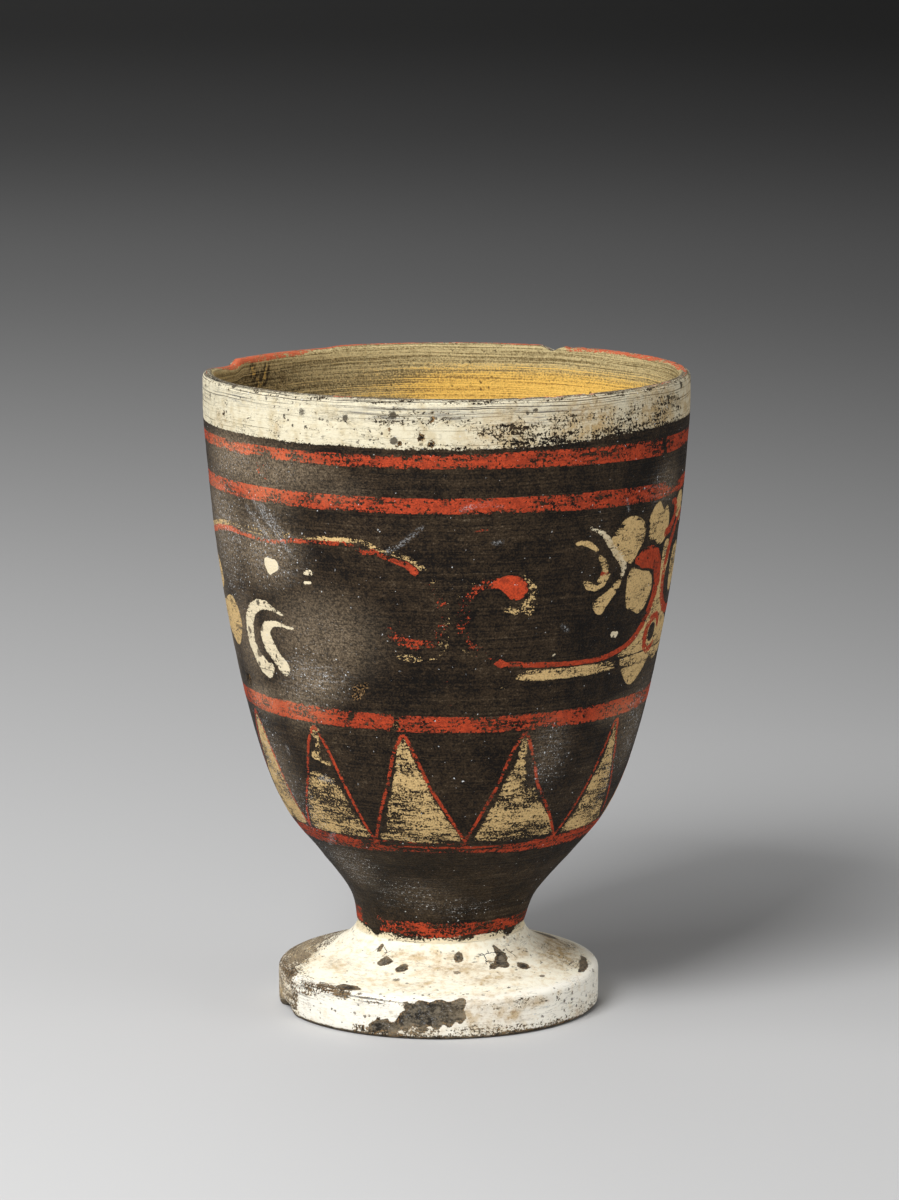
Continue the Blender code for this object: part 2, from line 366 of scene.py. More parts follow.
def outline(points, turned=0.0, wall="outside", steps=4):
    """A filled shape inside a closed line through (angle, height) points; one step keeps corners sharp."""
    corners = np.array(points, dtype=float)
    looped = np.vstack([corners[-1], corners, corners[:2]])
    line = curve_through(looped, steps)[steps : -steps - 1]
    middle_angle, middle_level = corners.mean(axis=0)
    across, along = distances_from(middle_angle + turned, middle_level, wall)
    line_across = (line[:, 0] - middle_angle) * reach_at(middle_level, wall)
    line_along = run_at(line[:, 1], wall) - run_at(middle_level, wall)
    near = np.abs(across) < np.abs(line_across).max() + FAR
    near &= np.abs(along) < np.abs(line_along).max() + FAR
    x, y = across[near], along[near]
    closest = np.full(x.shape, FAR)
    within = np.zeros(x.shape, dtype=bool)
    for x0, y0, x1, y1 in zip(line_across, line_along, np.roll(line_across, -1), np.roll(line_along, -1)):
        dx, dy = x1 - x0, y1 - y0
        share = np.clip(((x - x0) * dx + (y - y0) * dy) / (dx**2 + dy**2 + NOTHING), 0.0, 1.0)
        closest = np.minimum(closest, np.hypot(x - x0 - share * dx, y - y0 - share * dy))
        crosses = (y0 > y) != (y1 > y)
        within ^= crosses & (x < x0 + dx * (y - y0) / (dy if dy else NOTHING))
    depth = np.full(count, -FAR)
    depth[near] = np.where(within, closest, -closest)
    return depth


def mark(points, turned=0.0, wall="outside"):
    """A brush stroke where the points carry a half width, and a filled shape where they don't."""
    return (stroke if len(points[0]) == 3 else outline)(points, turned, wall)


def lay(coat, depth, wear=None):
    """Lays a mark into a coat and notes how worn it is."""
    coats[coat] = np.maximum(coats[coat], depth)
    if wear is not None:
        worn[depth > -EDGE_REACH] = wear


def rub(depth, wear, fade=0.8):
    """Wears the paint within a mark, fading out round it."""
    global worn
    worn = np.maximum(worn, wear * smooth_step(1.0 + depth / fade))


def rub_strokes(strokes, wall="outside"):
    """Wears the paint along strokes given as wear, fade and marks."""
    for wear, fade, points in strokes:
        rub(stroke(points, wall=wall), wear, fade)


def lift(coat, depth):
    """Takes a mark's area out of a coat."""
    coats[coat] = np.minimum(coats[coat], -depth)


# Cream slip: a band round the lip that runs over onto its crest, and the whole disc foot up to the stem.
# It was dipped or brushed thick and cracks off in flakes, most of all along the band's lower edge.
CREAM_PAST_CREST = 0.6
FOOT_SLIP_BOTTOM = ((0, 0.5), (180, 0.8))
CREST_RUBBED = 0.66
CREST_REACH = 1.1
CREST_FADE = 1.2
CREAM_BAND_LOWER = (
    (0, 124.4), (45, 123.6), (90, 123.2), (140, 123.5), (190, 123.3), (215, 123.3), (232, 122.9),
    (248, 123.1), (256, 122.9), (270, 122.7), (280, 123), (292, 123.1), (300, 123.5), (312, 123.8),
    (320, 124.3), (345, 124.6),
)
FOOT_SLIP_TOP = (
    (0, 17.7), (60, 18.1), (120, 17.5), (180, 18.5), (205, 18), (235, 17.8), (262, 17.6), (280, 17.8),
    (310, 17.6), (335, 18),
)
cream_edge = run_at(np.interp(angle, *zip(*CREAM_BAND_LOWER), period=360.0))
over_lip = np.minimum(run - cream_edge, lip_run + CREAM_PAST_CREST - run)
lay("cream", over_lip, 0.30)
lay("cream", band(FOOT_SLIP_BOTTOM, FOOT_SLIP_TOP), 0.12)
CREAM_RUBBED = (
    (0.66, 1.4, ((283, 123.4, 0.4), (292, 123.4, 0.9), (304, 123.9, 0.8), (320, 124.6, 0.5),
        (340, 124.8, 0.3))),
    (0.55, 2.5, ((276, 126.6, 1), (294, 126.4, 2), (312, 127.2, 2.2), (338, 127.8, 2))),
    (0.62, 0.9, ((222, 122.9, 0.3), (240, 122.8, 0.5), (250, 123, 0.6), (264, 122.9, 0.7),
        (284, 123.3, 0.4))),
    (0.47, 1.6, ((254, 128.6, 0.8), (262, 129, 1.6), (276, 128.6, 1.2))),
    (0.58, 1.2, ((5, 124.6, 0.4), (60, 123.6, 0.8), (120, 123.4, 0.5), (175, 123.4, 0.2))),
    (0.46, 2.4, ((40, 126.5, 1.4), (75, 127, 2), (110, 126.4, 1.2))),
    (0.6, 0.8, ((200, 17.6, 0.3), (240, 17.4, 0.4), (300, 17.3, 0.4), (344, 17.7, 0.3))),
)
rub_strokes(CREAM_RUBBED)
rub(CREST_REACH - np.abs(run - lip_run), CREST_RUBBED, CREST_FADE)


# Vermilion bands: two close ones under the cream band, one under the frieze, one under the triangles with
# thin gaps along it, and a flaky one where the stem meets the foot's slip. All were brushed on the wheel.
RED_BANDS = (
    (0.53, ((0, 119), (190, 119.2), (240, 119.1), (285, 119), (330, 118.4)), ((0, 121.8), (190, 121.5),
        (250, 121.7), (290, 122.4), (330, 122))),
    (0.52, ((0, 109.9), (185, 110.2), (250, 110.1), (290, 110), (330, 109.3)), ((0, 112.9), (190, 113.2),
        (250, 113.3), (310, 113.2), (345, 112.4))),
    (0.52, ((0, 65.4), (190, 65.3), (230, 65.3), (290, 65), (330, 65.1)), ((0, 68.9), (190, 68.8),
        (230, 69.1), (280, 68.4), (345, 68.9))),
    (0.58, ((0, 37.9), (200, 37.6), (250, 38), (310, 37.7), (335, 37.5)), ((0, 40.8), (200, 40.9),
        (250, 40.8), (310, 40.6), (335, 40.9))),
    (0.6, ((0, 17.5), (190, 18.3), (240, 17.5), (265, 17.2), (300, 17.5), (335, 18)), ((0, 20.9),
        (190, 21.6), (240, 20.8), (300, 20.9), (335, 20.6))),
)
for wear, lower, upper in RED_BANDS:
    lay("red", band(lower, upper), wear)
BAND_BREAKS = (
    ((330.8, 122.3, 0.5), (331.6, 120.5, 0.7), (332.6, 118.6, 0.5)),
    ((307, 111.9, 0.15), (318, 112, 0.22), (326, 111.8, 0.15)),
    ((331, 112.2, 0.15), (338, 111.6, 0.3), (346, 110.9, 0.2)),
    ((242, 67, 0.5), (243.6, 67.6, 0.5)),
    ((255.2, 65.4, 0.5), (256.5, 67, 0.6)),
    ((288.6, 65.5, 0.5), (289.6, 65.9, 0.4)),
    ((206, 19.6, 0.9), (214, 19.6, 1.5), (222, 19.2, 1)),
    ((239, 39.7, 0.2), (262, 39.6, 0.25), (300, 39.7, 0.15)),
    ((252, 38.9, 0.2), (276, 39, 0.25), (290, 38.9, 0.15)),
    ((60, 121.8, 0.4), (61, 120, 0.6), (62.5, 119, 0.3)),
)
for points in BAND_BREAKS:
    lift("red", mark(points))
BANDS_RUBBED = (
    (0.58, 1.2, ((300, 122, 0.4), (316, 121.8, 0.8), (334, 121.6, 0.8))),
    (0.5, 1, ((204, 120.4, 0.8), (224, 120.2, 0.9), (236, 120.6, 0.6))),
    (0.52, 1.2, ((206, 112, 0.6), (226, 111.6, 0.9), (262, 112.2, 0.4))),
    (0.58, 0.9, ((308, 111.6, 0.4), (326, 111.4, 0.8), (344, 110.8, 0.8))),
    (0.52, 1, ((196, 67.6, 0.6), (214, 67.4, 0.8), (232, 67, 0.6))),
    (0.58, 0.8, ((282, 67, 0.5), (300, 66.6, 0.6))),
    (0.72, 1.4, ((180, 21.3, 0.3), (230, 20.6, 0.5), (262, 20.4, 0.6), (300, 20.6, 0.4), (350, 20.5, 0.4))),
    (0.8, 1, ((222, 19.6, 1.4), (230, 20.6, 0.9))),
    (0.66, 0.9, ((196, 39, 0.8), (226, 39.4, 0.8))),
)
rub_strokes(BANDS_RUBBED)


# The zigzag of triangles round the lower bowl: buff fill, each with two thin vermilion legs that run
# from a blunt point under the third red band down to the fourth. Eleven go round the goblet.
TRIANGLE_TOP = 64.4
TRIANGLE_SHOULDER = 60.6
TRIANGLE_MIDDLE = 53.0
TRIANGLE_FOOT = 41.3
LEGS_END = 39.6
LEG_HALF_WIDTH = 0.38
LEGS_WORN = 0.48
HALF_POINT = 0.5
LEGS_SPREAD = 1.4
SEEN_TRIANGLES = (
    (199, (195.3, 191, 183.5), (202.6, 206.8, 212.3)),
    (229.9, (226.4, 222.9, 212.6), (233.2, 237.2, 243.4)),
    (258, (254.9, 251.9, 244.8), (260.7, 265.1, 276.2)),
    (292.4, (289, 285.3, 276.6), (295, 298.6, 310.6)),
    (326.6, (324, 320.4, 312.4), (328.4, 332.1, 341)),
)
FIRST_HIDDEN, LAST_HIDDEN = 359.6, 525.8
HIDDEN_TRIANGLES = tuple(
    (apex, (apex - 3.3, apex - 6.9, apex - 15.6), (apex + 3.2, apex + 6.8, apex + 15.8))
    for apex in np.linspace(FIRST_HIDDEN, LAST_HIDDEN, 6)
)
for apex, left_leg, right_leg in SEEN_TRIANGLES + HIDDEN_TRIANGLES:
    levels = (TRIANGLE_SHOULDER, TRIANGLE_MIDDLE, TRIANGLE_FOOT)
    left = [(apex - HALF_POINT, TRIANGLE_TOP)] + list(zip(left_leg, levels))
    right = [(apex + HALF_POINT, TRIANGLE_TOP)] + list(zip(right_leg, levels))
    under_band = [(left_leg[-1] - LEGS_SPREAD, LEGS_END), (right_leg[-1] + LEGS_SPREAD, LEGS_END)]
    legs = outline(left + under_band + right[::-1], steps=1)
    lay("triangles", legs)
SEEN_FILLS = (
    (0.52, ((199, 63.8), (200.6, 62.6), (203, 60.8), (204.2, 57), (206.2, 54), (207.8, 50), (209.4, 46),
        (211.6, 42.4), (209, 41), (198, 41.2), (187.6, 41.4), (189.6, 46), (191.8, 50), (194.6, 56),
        (196.6, 60.4), (197.8, 63))),
    (0.46, ((228.4, 64.4), (231.8, 64.2), (232.2, 62.8), (230.8, 62), (231, 60.4), (230.8, 59),
        (229.6, 59.2), (229.2, 60.6), (229.4, 62.2), (228, 62.8))),
    (0.4, ((226.8, 58.9), (228.4, 59.6), (229.6, 58.4), (231.6, 57.6), (234, 57.2), (234.2, 56.2),
        (230, 56.8), (227, 57.4))),
    (0.66, ((227, 54.6), (231, 54.4), (234.6, 53.6), (236, 51), (237.6, 48.6), (239.6, 46), (241.6, 43.2),
        (242.6, 41.2), (232, 41), (220, 40.9), (214.2, 41.2), (216, 44), (219, 47.6), (221.4, 51),
        (224, 54))),
    (0.58, ((258, 64.2), (259.3, 62.6), (260.2, 60.2), (261.4, 58), (263.2, 56), (265, 52.8), (266.2, 50.6),
        (268, 48.8), (269.8, 46.6), (272.8, 44.1), (275.8, 41.4), (270, 40.7), (262, 40.6), (254, 40.8),
        (246.4, 41), (246.2, 42), (249.6, 43.8), (250.4, 47), (252, 50.4), (253.4, 53), (254.4, 56),
        (255.4, 59), (255.8, 61.6), (256.8, 63.6))),
    (0.63, ((292.2, 64.2), (293.7, 63.1), (294, 60.6), (292.9, 59.8), (293.8, 57.2), (294.6, 54.8),
        (295.2, 52.4), (297.3, 53), (299, 51), (301, 49), (303.4, 47.1), (306, 45.4), (308.4, 43.8),
        (310.2, 41.4), (303, 40.8), (294, 40.7), (281.2, 40.9), (279.4, 41.8), (281.8, 45), (284, 48.4),
        (286, 51), (287.4, 54), (289.4, 56.6), (290.8, 59.2), (290.8, 62.6))),
    (0.6, ((326.4, 63.8), (328.4, 60.8), (328.6, 57.6), (330.4, 54.6), (331.4, 52), (333.4, 49.1),
        (335, 45.4), (337, 43.4), (340.4, 41.4), (334, 40.8), (320, 40.7), (313.6, 41), (316, 43.6),
        (318, 46), (319.6, 49.5), (321, 52.2), (323.3, 55.2), (324.4, 58.2), (325.2, 61.2))),
)
HIDDEN_FILL = (
    (0, 63.8), (1.2, 61), (2.6, 57), (5.2, 53), (9.4, 47), (14.2, 41.4), (6, 40.8), (-6, 40.7), (-14, 41.3),
    (-10, 46.8), (-5.4, 53.4), (-3, 57), (-1.4, 61.4),
)
HIDDEN_WEAR = (0.52, 0.62, 0.54, 0.58, 0.53, 0.66)
for wear, points in SEEN_FILLS:
    lay("buff", outline(points, steps=2), wear)
for (apex, *_), wear in zip(HIDDEN_TRIANGLES, HIDDEN_WEAR):
    lay("buff", outline(HIDDEN_FILL, apex, steps=2), wear)
FILLS_RUBBED = (
    (0.66, 1.2, ((251, 43.6, 0.6), (258, 43.4, 0.9), (268, 43.2, 0.6))),
    (0.6, 1, ((254, 47.8, 0.4), (262, 47.4, 0.6), (267, 47, 0.3))),
    (0.6, 1, ((282, 43.6, 0.5), (292, 43.4, 0.5), (302, 43.4, 0.4))),
    (0.56, 1, ((289, 49.4, 0.5), (297, 49.2, 0.6))),
    (0.6, 0.8, ((320, 47.4, 0.4), (330, 49, 0.4))),
    (0.62, 0.9, ((332, 42.4, 0.5), (337, 42, 0.5))),
    (0.5, 1, ((199, 50, 1), (203, 46, 1.2))),
    (0.74, 1, ((229, 51, 0.6), (234, 50.6, 0.8))),
    (0.72, 0.8, ((217, 44.6, 0.6), (222, 46.8, 0.6))),
)
rub_strokes(FILLS_RUBBED)


# The frieze: a scrolling vermilion and buff vine with buff palmette leaves, cream curls and dots. It is
# drawn here for the side that shows, and the same scroll was repeated on the other half of the bowl.
VINE_MARKS = (
    ("buff", 0.3, ((180, 100.8, 0.5), (185, 101.5, 0.6), (190, 102.2, 0.6), (195, 103, 0.65),
        (200, 103.7, 0.6), (206, 104.2, 0.4))),
    ("buff", 0.76, ((206, 104.2, 0.4), (214, 104, 0.6), (224, 103.6, 0.6), (232, 104.3, 0.7),
        (243, 104.3, 0.6), (250, 104.2, 0.5))),
    ("buff", 0.72, ((250, 104, 0.6), (252.5, 103.2, 0.5), (257, 102, 0.5), (261, 101.1, 0.5),
        (264, 99.3, 0.6), (266.5, 97.6, 0.5))),
    ("buff", 0.84, ((266.5, 97.6, 0.7), (268, 95, 0.9), (269.4, 93.1, 1.1), (270.1, 90, 1.2),
        (269.8, 87, 1), (269.6, 84.2, 1.2), (268.6, 81.6, 0.9))),
    ("buff", 0.84, ((257.5, 80.8, 0.9), (260.5, 80.6, 1.1), (263.2, 80.4, 0.8))),
    ("buff", 0.8, ((266, 80.6, 0.8), (267.4, 80.3, 0.7))),
    ("red", 0.42, ((180, 99.7, 0.55), (190, 101.2, 0.7), (195, 102.1, 0.7), (200, 102.6, 0.6),
        (206, 103, 0.6), (212, 102.7, 0.5), (218, 102.3, 0.4))),
    ("red", 0.56, ((218, 102.3, 0.4), (222, 102.2, 0.4), (226, 102.4, 0.45), (230, 103.1, 0.5),
        (236, 103.2, 0.5), (242, 103.4, 0.5))),
    ("red", 0.46, ((242, 103.4, 0.5), (245.5, 103.6, 0.5), (248, 102.9, 0.5), (250, 101.9, 0.5),
        (252.5, 102.3, 0.6), (255, 101.3, 0.5), (258, 100.4, 0.5))),
    ("red", 0.3, ((257.5, 100.4, 0.4), (260.5, 99.8, 0.7), (262.5, 98.4, 0.8), (264.3, 97.2, 0.4))),
    ("red", 0.9, ((264.3, 97.2, 0.8), (267, 95, 1), (268.8, 92, 1.1), (269.2, 89, 1.1), (268.5, 86, 1.3),
        (266.9, 84, 1.2))),
    ("red", 0.8, ((267.3, 84, 1), (264.5, 83.4, 1.1), (261, 83.6, 1.3), (258, 84.4, 1.3),
        (255.8, 85.8, 1.2), (255.3, 87.4, 0.9), (256.5, 88.3, 0.7), (258.8, 88.3, 0.6))),
    ("buff", 0.9, ((271.5, 92.6, 0.6), (275, 95.8, 0.8), (279.5, 97.6, 0.6))),
    ("buff", 0.86, ((273.4, 83, 0.7), (276.6, 81, 0.7))),
    ("buff", 0.66, ((283.4, 74.4, 0.3), (284.8, 74.1, 0.4))),
    ("red", 0.76, ((281.4, 96, 1.2), (279, 95.9, 1.1), (277, 94.8, 1.1), (275.3, 93.3, 1.1))),
    ("red", 0.9, ((275.3, 93.3, 1.1), (274.2, 91.4, 1.7), (274.4, 89.4, 1.9), (273, 87.6, 1.4),
        (274.4, 85.4, 1.1), (275.2, 83.8, 1.1))),
    ("red", 0.76, ((275.2, 84, 0.9), (276.5, 82.9, 1.3), (278.3, 82.1, 1.2), (279.8, 81.4, 0.7))),
    ("red", 0.84, ((279.8, 81.4, 0.7), (282, 80.4, 0.8), (284, 79.3, 0.9))),
    ("red", 0.36, ((283.6, 79.2, 0.4), (286.5, 79.2, 0.6), (295, 78.6, 0.6), (303, 78.3, 0.5),
        (310, 78.2, 0.55), (315, 78.4, 0.6))),
    ("red", 0.38, ((315, 78.4, 0.6), (319, 79, 0.6), (322, 79.6, 0.6), (325, 80.4, 0.65), (328, 81.8, 0.75),
        (331, 83.9, 0.95), (333.2, 86.3, 1.15))),
    ("red", 0.38, ((333.2, 86.3, 1.15), (335, 89, 1.4), (335.6, 92, 1.6), (334.8, 95, 1.8),
        (332.6, 97.1, 2.2), (329.5, 97.8, 2.4), (326.6, 97.8, 2.1), (323.6, 97.7, 0.9))),
    ("red", 0.5, ((276, 106.4, 0.15), (277.8, 106.6, 0.25))),
    ("red", 0.4, ((278.4, 106.9, 0.3), (279.6, 106.9, 0.25))),
    ("red", 0.86, ((274, 98.6, 0.4), (277, 97.9, 0.4))),
    ("red", 0.93, ((269.5, 78, 0.6), (270.5, 74, 0.9), (271.5, 71, 0.7))),
    ("red", 0.9, ((224, 119, 1), (221.6, 117, 1.4), (223.4, 115.6, 0.8))),
)
BUD_MARKS = (
    ("red", 0.1, ((281.6, 95.9), (283.5, 97.3), (286, 97.5), (288.5, 96.7), (290, 95.2), (289.6, 93.4),
        (287.5, 92.4), (285.5, 92.7), (284.3, 93.9), (282.6, 94.9))),
    ("buff", 0.66, ((288.8, 97.2, 0.4), (290.7, 96, 0.7), (291.4, 94, 1), (290.9, 92.2, 1),
        (289.4, 91.2, 0.9))),
    ("buff", 0.56, ((283.8, 90.3), (285.3, 91.2), (286.5, 91.1), (288, 91.4), (288.6, 90.4), (287, 89.3),
        (285.5, 89.8))),
    ("buff", 0.74, ((288.4, 90.6, 0.5), (290.6, 89.6, 0.7), (292.2, 91.2, 0.5))),
)
LEAF_MARKS = (
    ("buff", 0.46, ((288.6, 76.9), (290.4, 77.5), (293, 77.7), (300, 77.6), (310, 77.5), (316, 77.5),
        (319.8, 77.4), (320.3, 76.5), (319.6, 75.6), (310, 75.2), (300, 75.3), (296, 75.3), (291.6, 75.5),
        (288.8, 75.8), (287.6, 76.2))),
    ("buff", 0.36, ((320.9, 78.4), (323, 79.2), (326, 80), (329, 81.6), (332, 83.9), (334.2, 86.5),
        (336.2, 89.5), (337.2, 93), (336.5, 96.5), (338, 100), (341, 100), (343, 97), (341.3, 93),
        (341, 90), (342.5, 87.5), (346, 84.5), (352, 82.5), (356, 80), (354, 77), (349, 75.5), (343, 74.8),
        (339.5, 75.8), (337, 74.3), (334, 72.6), (331, 71.3), (328.5, 71.3), (326, 72.6), (323.5, 74.8),
        (322.2, 76.6))),
    ("buff", 0.4, ((313, 103.2), (314.5, 104.6), (316.6, 106.4), (319, 107.1), (322, 106.9), (325, 105.6),
        (326.2, 103.5), (325.6, 101.4), (324, 100), (322.6, 98.4), (321, 97.3), (319, 97.8), (317.5, 98.6),
        (316, 99.8), (314.5, 101.2))),
    ("buff", 0.4, ((327.3, 102.5), (327, 104.5), (328, 106.8), (330, 108.3), (332, 108.9), (333.5, 108),
        (335, 106.7), (336.5, 107.6), (338, 107), (339, 105), (338.5, 102), (337, 100.5), (335, 99.8),
        (333, 99.9), (331, 101), (328.5, 101.5))),
    ("buff", 0.4, ((320.3, 95), (322, 96.5), (324, 95.9), (327, 95.2), (330, 94.7), (332, 93.2),
        (332.6, 91), (331.5, 88.8), (329.5, 87), (327, 86.3), (324, 87.3), (321.5, 88), (320.5, 90),
        (320.2, 92.5))),
    ("buff", 0.4, ((343.5, 105), (344.5, 107.8), (347, 109.3), (350, 109.2), (352.5, 107), (352.5, 103.5),
        (350, 102.8), (347, 103.8))),
    ("buff", 0.4, ((346, 97.5), (348.5, 98.6), (352, 98.4), (355, 96), (355.5, 92), (353, 89), (349, 88.2),
        (346.5, 90), (345.3, 93.5))),
    ("buff", 0.3, ((178, 96.3), (183, 96.2), (187, 95.4), (190.5, 94), (192.2, 92), (191, 89.9),
        (187.5, 88.6), (183, 88.2), (178, 89.5))),
    ("buff", 0.3, ((181, 86.6), (186, 86.2), (190, 86.6), (193.5, 87.6), (197, 88.3), (200, 88.2),
        (202.3, 86.4), (203.4, 84.1), (202.6, 81.6), (200.8, 79.7), (198, 78), (195, 77.9), (192, 78.9),
        (188, 80), (183, 80.2), (179, 82))),
    ("red", 0.38, ((342, 82.2, 0.6), (341, 83.9, 0.9), (338.8, 84.6, 0.9), (336.2, 84.3, 1),
        (334.2, 82.8, 1), (333.4, 80.8, 1), (334.2, 78.7, 0.9), (336.3, 77.6, 0.7), (338.8, 77.8, 0.7),
        (340.6, 78.8, 0.6))),
    ("red", 0.36, ((353, 104.8, 0.7), (347.5, 103.4, 1), (344.5, 101.2, 1.1), (341.5, 98.2, 1.1),
        (340, 95, 1.1), (339.9, 91.5, 1.1), (341.3, 88.2, 1.1), (344.5, 85.8, 1.1), (349, 84.6, 1),
        (356, 84.4, 0.8))),
    ("red", 0.38, ((337.4, 101.7, 0.9), (340.5, 102.3, 1), (343, 104, 1), (344.8, 106, 1.1),
        (343.2, 107.5, 0.9), (340.8, 107.9, 0.6))),
)
CURL_MARKS = (
    ("cream", 0.34, ((224.6, 87.3, 0.3), (221.5, 88, 0.5), (218.2, 88.7, 1), (215, 88.4, 1.2),
        (211.8, 87.2, 1.35), (209.3, 85.1, 1.5), (208.2, 82.4, 1.6), (208.3, 79.8, 1.6), (210, 77.4, 1.6),
        (212.5, 75.5, 1.9), (214.5, 74.8, 1.8), (216.6, 75.5, 1))),
    ("cream", 0.34, ((227.7, 84.6, 0.3), (223.5, 85.1, 0.45), (220, 85, 0.7), (217.3, 84.1, 1.2),
        (216.1, 82.4, 1.8), (217.2, 80.1, 2), (219.6, 77.9, 1.6), (222.3, 76, 1.7))),
    ("cream", 0.46, ((306, 106, 0.25), (308, 105.3, 0.4), (310.3, 104.3, 0.6), (312.6, 102.4, 0.8),
        (315, 100.2, 0.9), (317.3, 98.6, 1.1), (318.2, 97, 1), (318, 95.3, 0.6))),
    ("buff", 0.4, ((318.2, 94.6), (316, 94.1), (314.2, 93), (312, 91.9), (309.6, 90.9), (308.4, 90.3),
        (309.7, 88.4), (311.9, 87.6), (313.7, 89.4), (315.5, 90.9), (317, 92.3))),
    ("buff", 0.44, ((301.9, 102.8, 0.35), (303.8, 103.1, 0.5), (306, 102.6, 0.7), (308.6, 101.3, 0.5))),
    ("buff", 0.44, ((309.3, 100, 0.3), (310.8, 98.8, 0.8), (311.9, 97.2, 0.9), (311.4, 95.6, 0.9),
        (310.1, 94.9, 0.5))),
    ("buff", 0.4, ((305.6, 94.8, 0.5), (307, 94, 0.9), (309.3, 93.3, 0.6), (311.5, 93.9, 0.5),
        (313.4, 95.8, 0.3))),
    ("red", 0.45, ((310.8, 96.2, 0.5), (312.8, 96.2, 0.35))),
    ("cream", 0.3, ((220.2, 98.6), (222.5, 98.8), (224.6, 98.4), (225.2, 96.9), (223.5, 96), (221.6, 95.3),
        (220.3, 96.8))),
    ("cream", 0.34, ((233.6, 96.8, 0.5), (235.4, 96.9, 0.55))),
    ("cream", 0.34, ((233.1, 94.7, 0.35), (235.2, 94.8, 0.3))),
    ("cream", 0.05, ((317.2, 83.1, 0.6), (318.7, 82.9, 0.7))),
    ("cream", 0.1, ((298, 80.2, 0.2), (298.7, 80.5, 0.25))),
)
FRIEZE_GAPS = (
    ("buff", ((336, 82.6), (338, 83.2), (339.8, 82.4), (339.9, 80.8), (338.4, 79.4), (336.3, 79.6),
        (335.3, 81))),
    ("buff", ((321, 77.6, 0.3), (328, 77.6, 0.12), (340, 77.9, 0.15), (352, 77.6, 0.15))),
    ("buff", ((320.6, 76.6, 0.45), (322.4, 75.6, 0.35), (330, 75.6, 0.12), (341, 75.6, 0.25),
        (348, 75.9, 0.1))),
    ("buff", ((312.8, 104.7, 0.12), (316.6, 104.8, 0.12))),
    ("buff", ((313.4, 103.8, 0.2), (317.2, 103.9, 0.1))),
    ("buff", ((314.4, 105.6, 0.12), (317.6, 105.4, 0.15))),
    ("buff", ((313.4, 101.6, 0.12), (317, 101.4, 0.08))),
    ("buff", ((326.3, 100.8, 0.6), (327.2, 103.5, 0.5), (326.6, 106, 0.6))),
    ("buff", ((314.6, 93.3, 0.1), (316.4, 92.2, 0.3))),
    ("buff", ((341.2, 104.6, 0.4), (342.6, 105.3, 0.4))),
)
for turned in (0.0, 180.0):
    for coat, wear, points in LEAF_MARKS + VINE_MARKS + BUD_MARKS + CURL_MARKS:
        lay(coat, mark(points, turned), wear)
    for coat, points in FRIEZE_GAPS:
        lift(coat, mark(points, turned))


# Wear on the foot and the lip: whole flakes of cream slip are lost from the foot, its left side is rubbed
# to the grey clay, and a bare lip, dust scuffs, clay-brown stains and soot show where it has been handled.
# Dust on the bowl's left front is also a painted sheen, soot on the inside's left also painted shade, and
# the ochre wash is laid strongest where the light falls into the bowl.
FLAKES_LOST = {
    "foot top": (
        ((229, 31.6), (233, 32.2), (240, 31.4), (237, 30.4), (230.5, 30.6)),
        ((234.5, 21.6), (237.5, 22.6), (241, 22.2), (243.5, 21), (240, 20.4), (237, 20)),
        ((247, 23.4), (250, 23.9), (253.5, 23), (253, 21.6), (249.5, 21.4)),
        ((228, 19.3), (231, 19.4), (231.5, 18.4), (228.5, 18.2)),
        ((278.6, 20.4), (281.5, 20.7), (284.2, 20.2), (284, 18.9), (280, 18.8)),
        ((296.4, 22.4), (299, 23.5), (302, 23), (305.5, 23.6), (309, 23.3), (310.5, 21.4), (313.5, 20.6),
            (311.5, 19.3), (308.5, 18.4), (306.5, 18.2), (306, 19.9), (303.5, 20.6), (301.5, 21.6)),
        ((312.5, 24.3), (315.5, 25.3), (319.5, 24.7), (318.5, 23.3), (314.5, 22.9)),
        ((338, 31.6, 0.5), (347, 31, 0.9), (358, 30.2, 0.6)),
        ((20, 26), (26, 27.6), (33, 26.8), (35, 24), (29, 22.9), (22, 23.6)),
        ((84, 29), (92, 30.6), (99, 29.6), (97, 27.2), (88, 26.8)),
        ((128, 21.6), (134, 22.6), (137, 20.6), (131, 19.6)),
        ((284.5, 21.2, 0.08), (290, 20.9, 0.14), (296, 21.4, 0.1), (300, 20.8, 0.12)),
        ((303, 18.6, 0.12), (306, 18.6, 0.2), (314, 20.4, 0.12), (322, 19.7, 0.12), (330, 20.2, 0.1)),
    ),
    "outside": (
        ((245, 1.6), (245.6, 3.2), (247.6, 3.4), (248.2, 4.7), (249.6, 3.8), (252, 4.2), (253, 3.4),
            (255.4, 3.9), (256.4, 5.4), (258.6, 6.4), (257.6, 7.8), (261, 7.6), (263.6, 8.3), (267, 7.9),
            (270.4, 8.4), (274, 8), (277.6, 8.5), (279.8, 8.2), (279, 6.2), (279.9, 4.9), (278.2, 3.4),
            (276, 3.7), (273.8, 2.6), (271.6, 3.4), (269.6, 2.2), (266.6, 3.1), (264.6, 2), (261, 2.9),
            (259, 1.5), (256.6, 2.2), (254.6, 1), (250, 1.3), (247.6, 0.7)),
        ((212, 17.5), (215, 18), (220, 17.5), (225, 17.3), (222, 16.6), (217, 16.8)),
        ((318, 17.7), (322.5, 18.3), (328, 18), (331, 17.2), (326, 16.5), (320.5, 16.7)),
        ((244, 17.4, 0.3), (250, 17.5, 0.4)),
        ((286, 17.3, 0.2), (291, 17.4, 0.3)),
        ((289.5, 6.4, 0.35), (292, 6.6, 0.4)),
        ((309, 6.5, 0.4), (311.5, 6.3, 0.3)),
        ((40, 1), (44, 4.6), (52, 5.4), (60, 4.2), (66, 4.8), (70, 1.6), (58, 0.6)),
        ((118, 8), (124, 7.4), (133, 5.8), (139, 6.6), (142, 8.4), (130, 8.8)),
    ),
}
for wall, shapes in FLAKES_LOST.items():
    for points in shapes:
        lift("cream", mark(points, wall=wall))

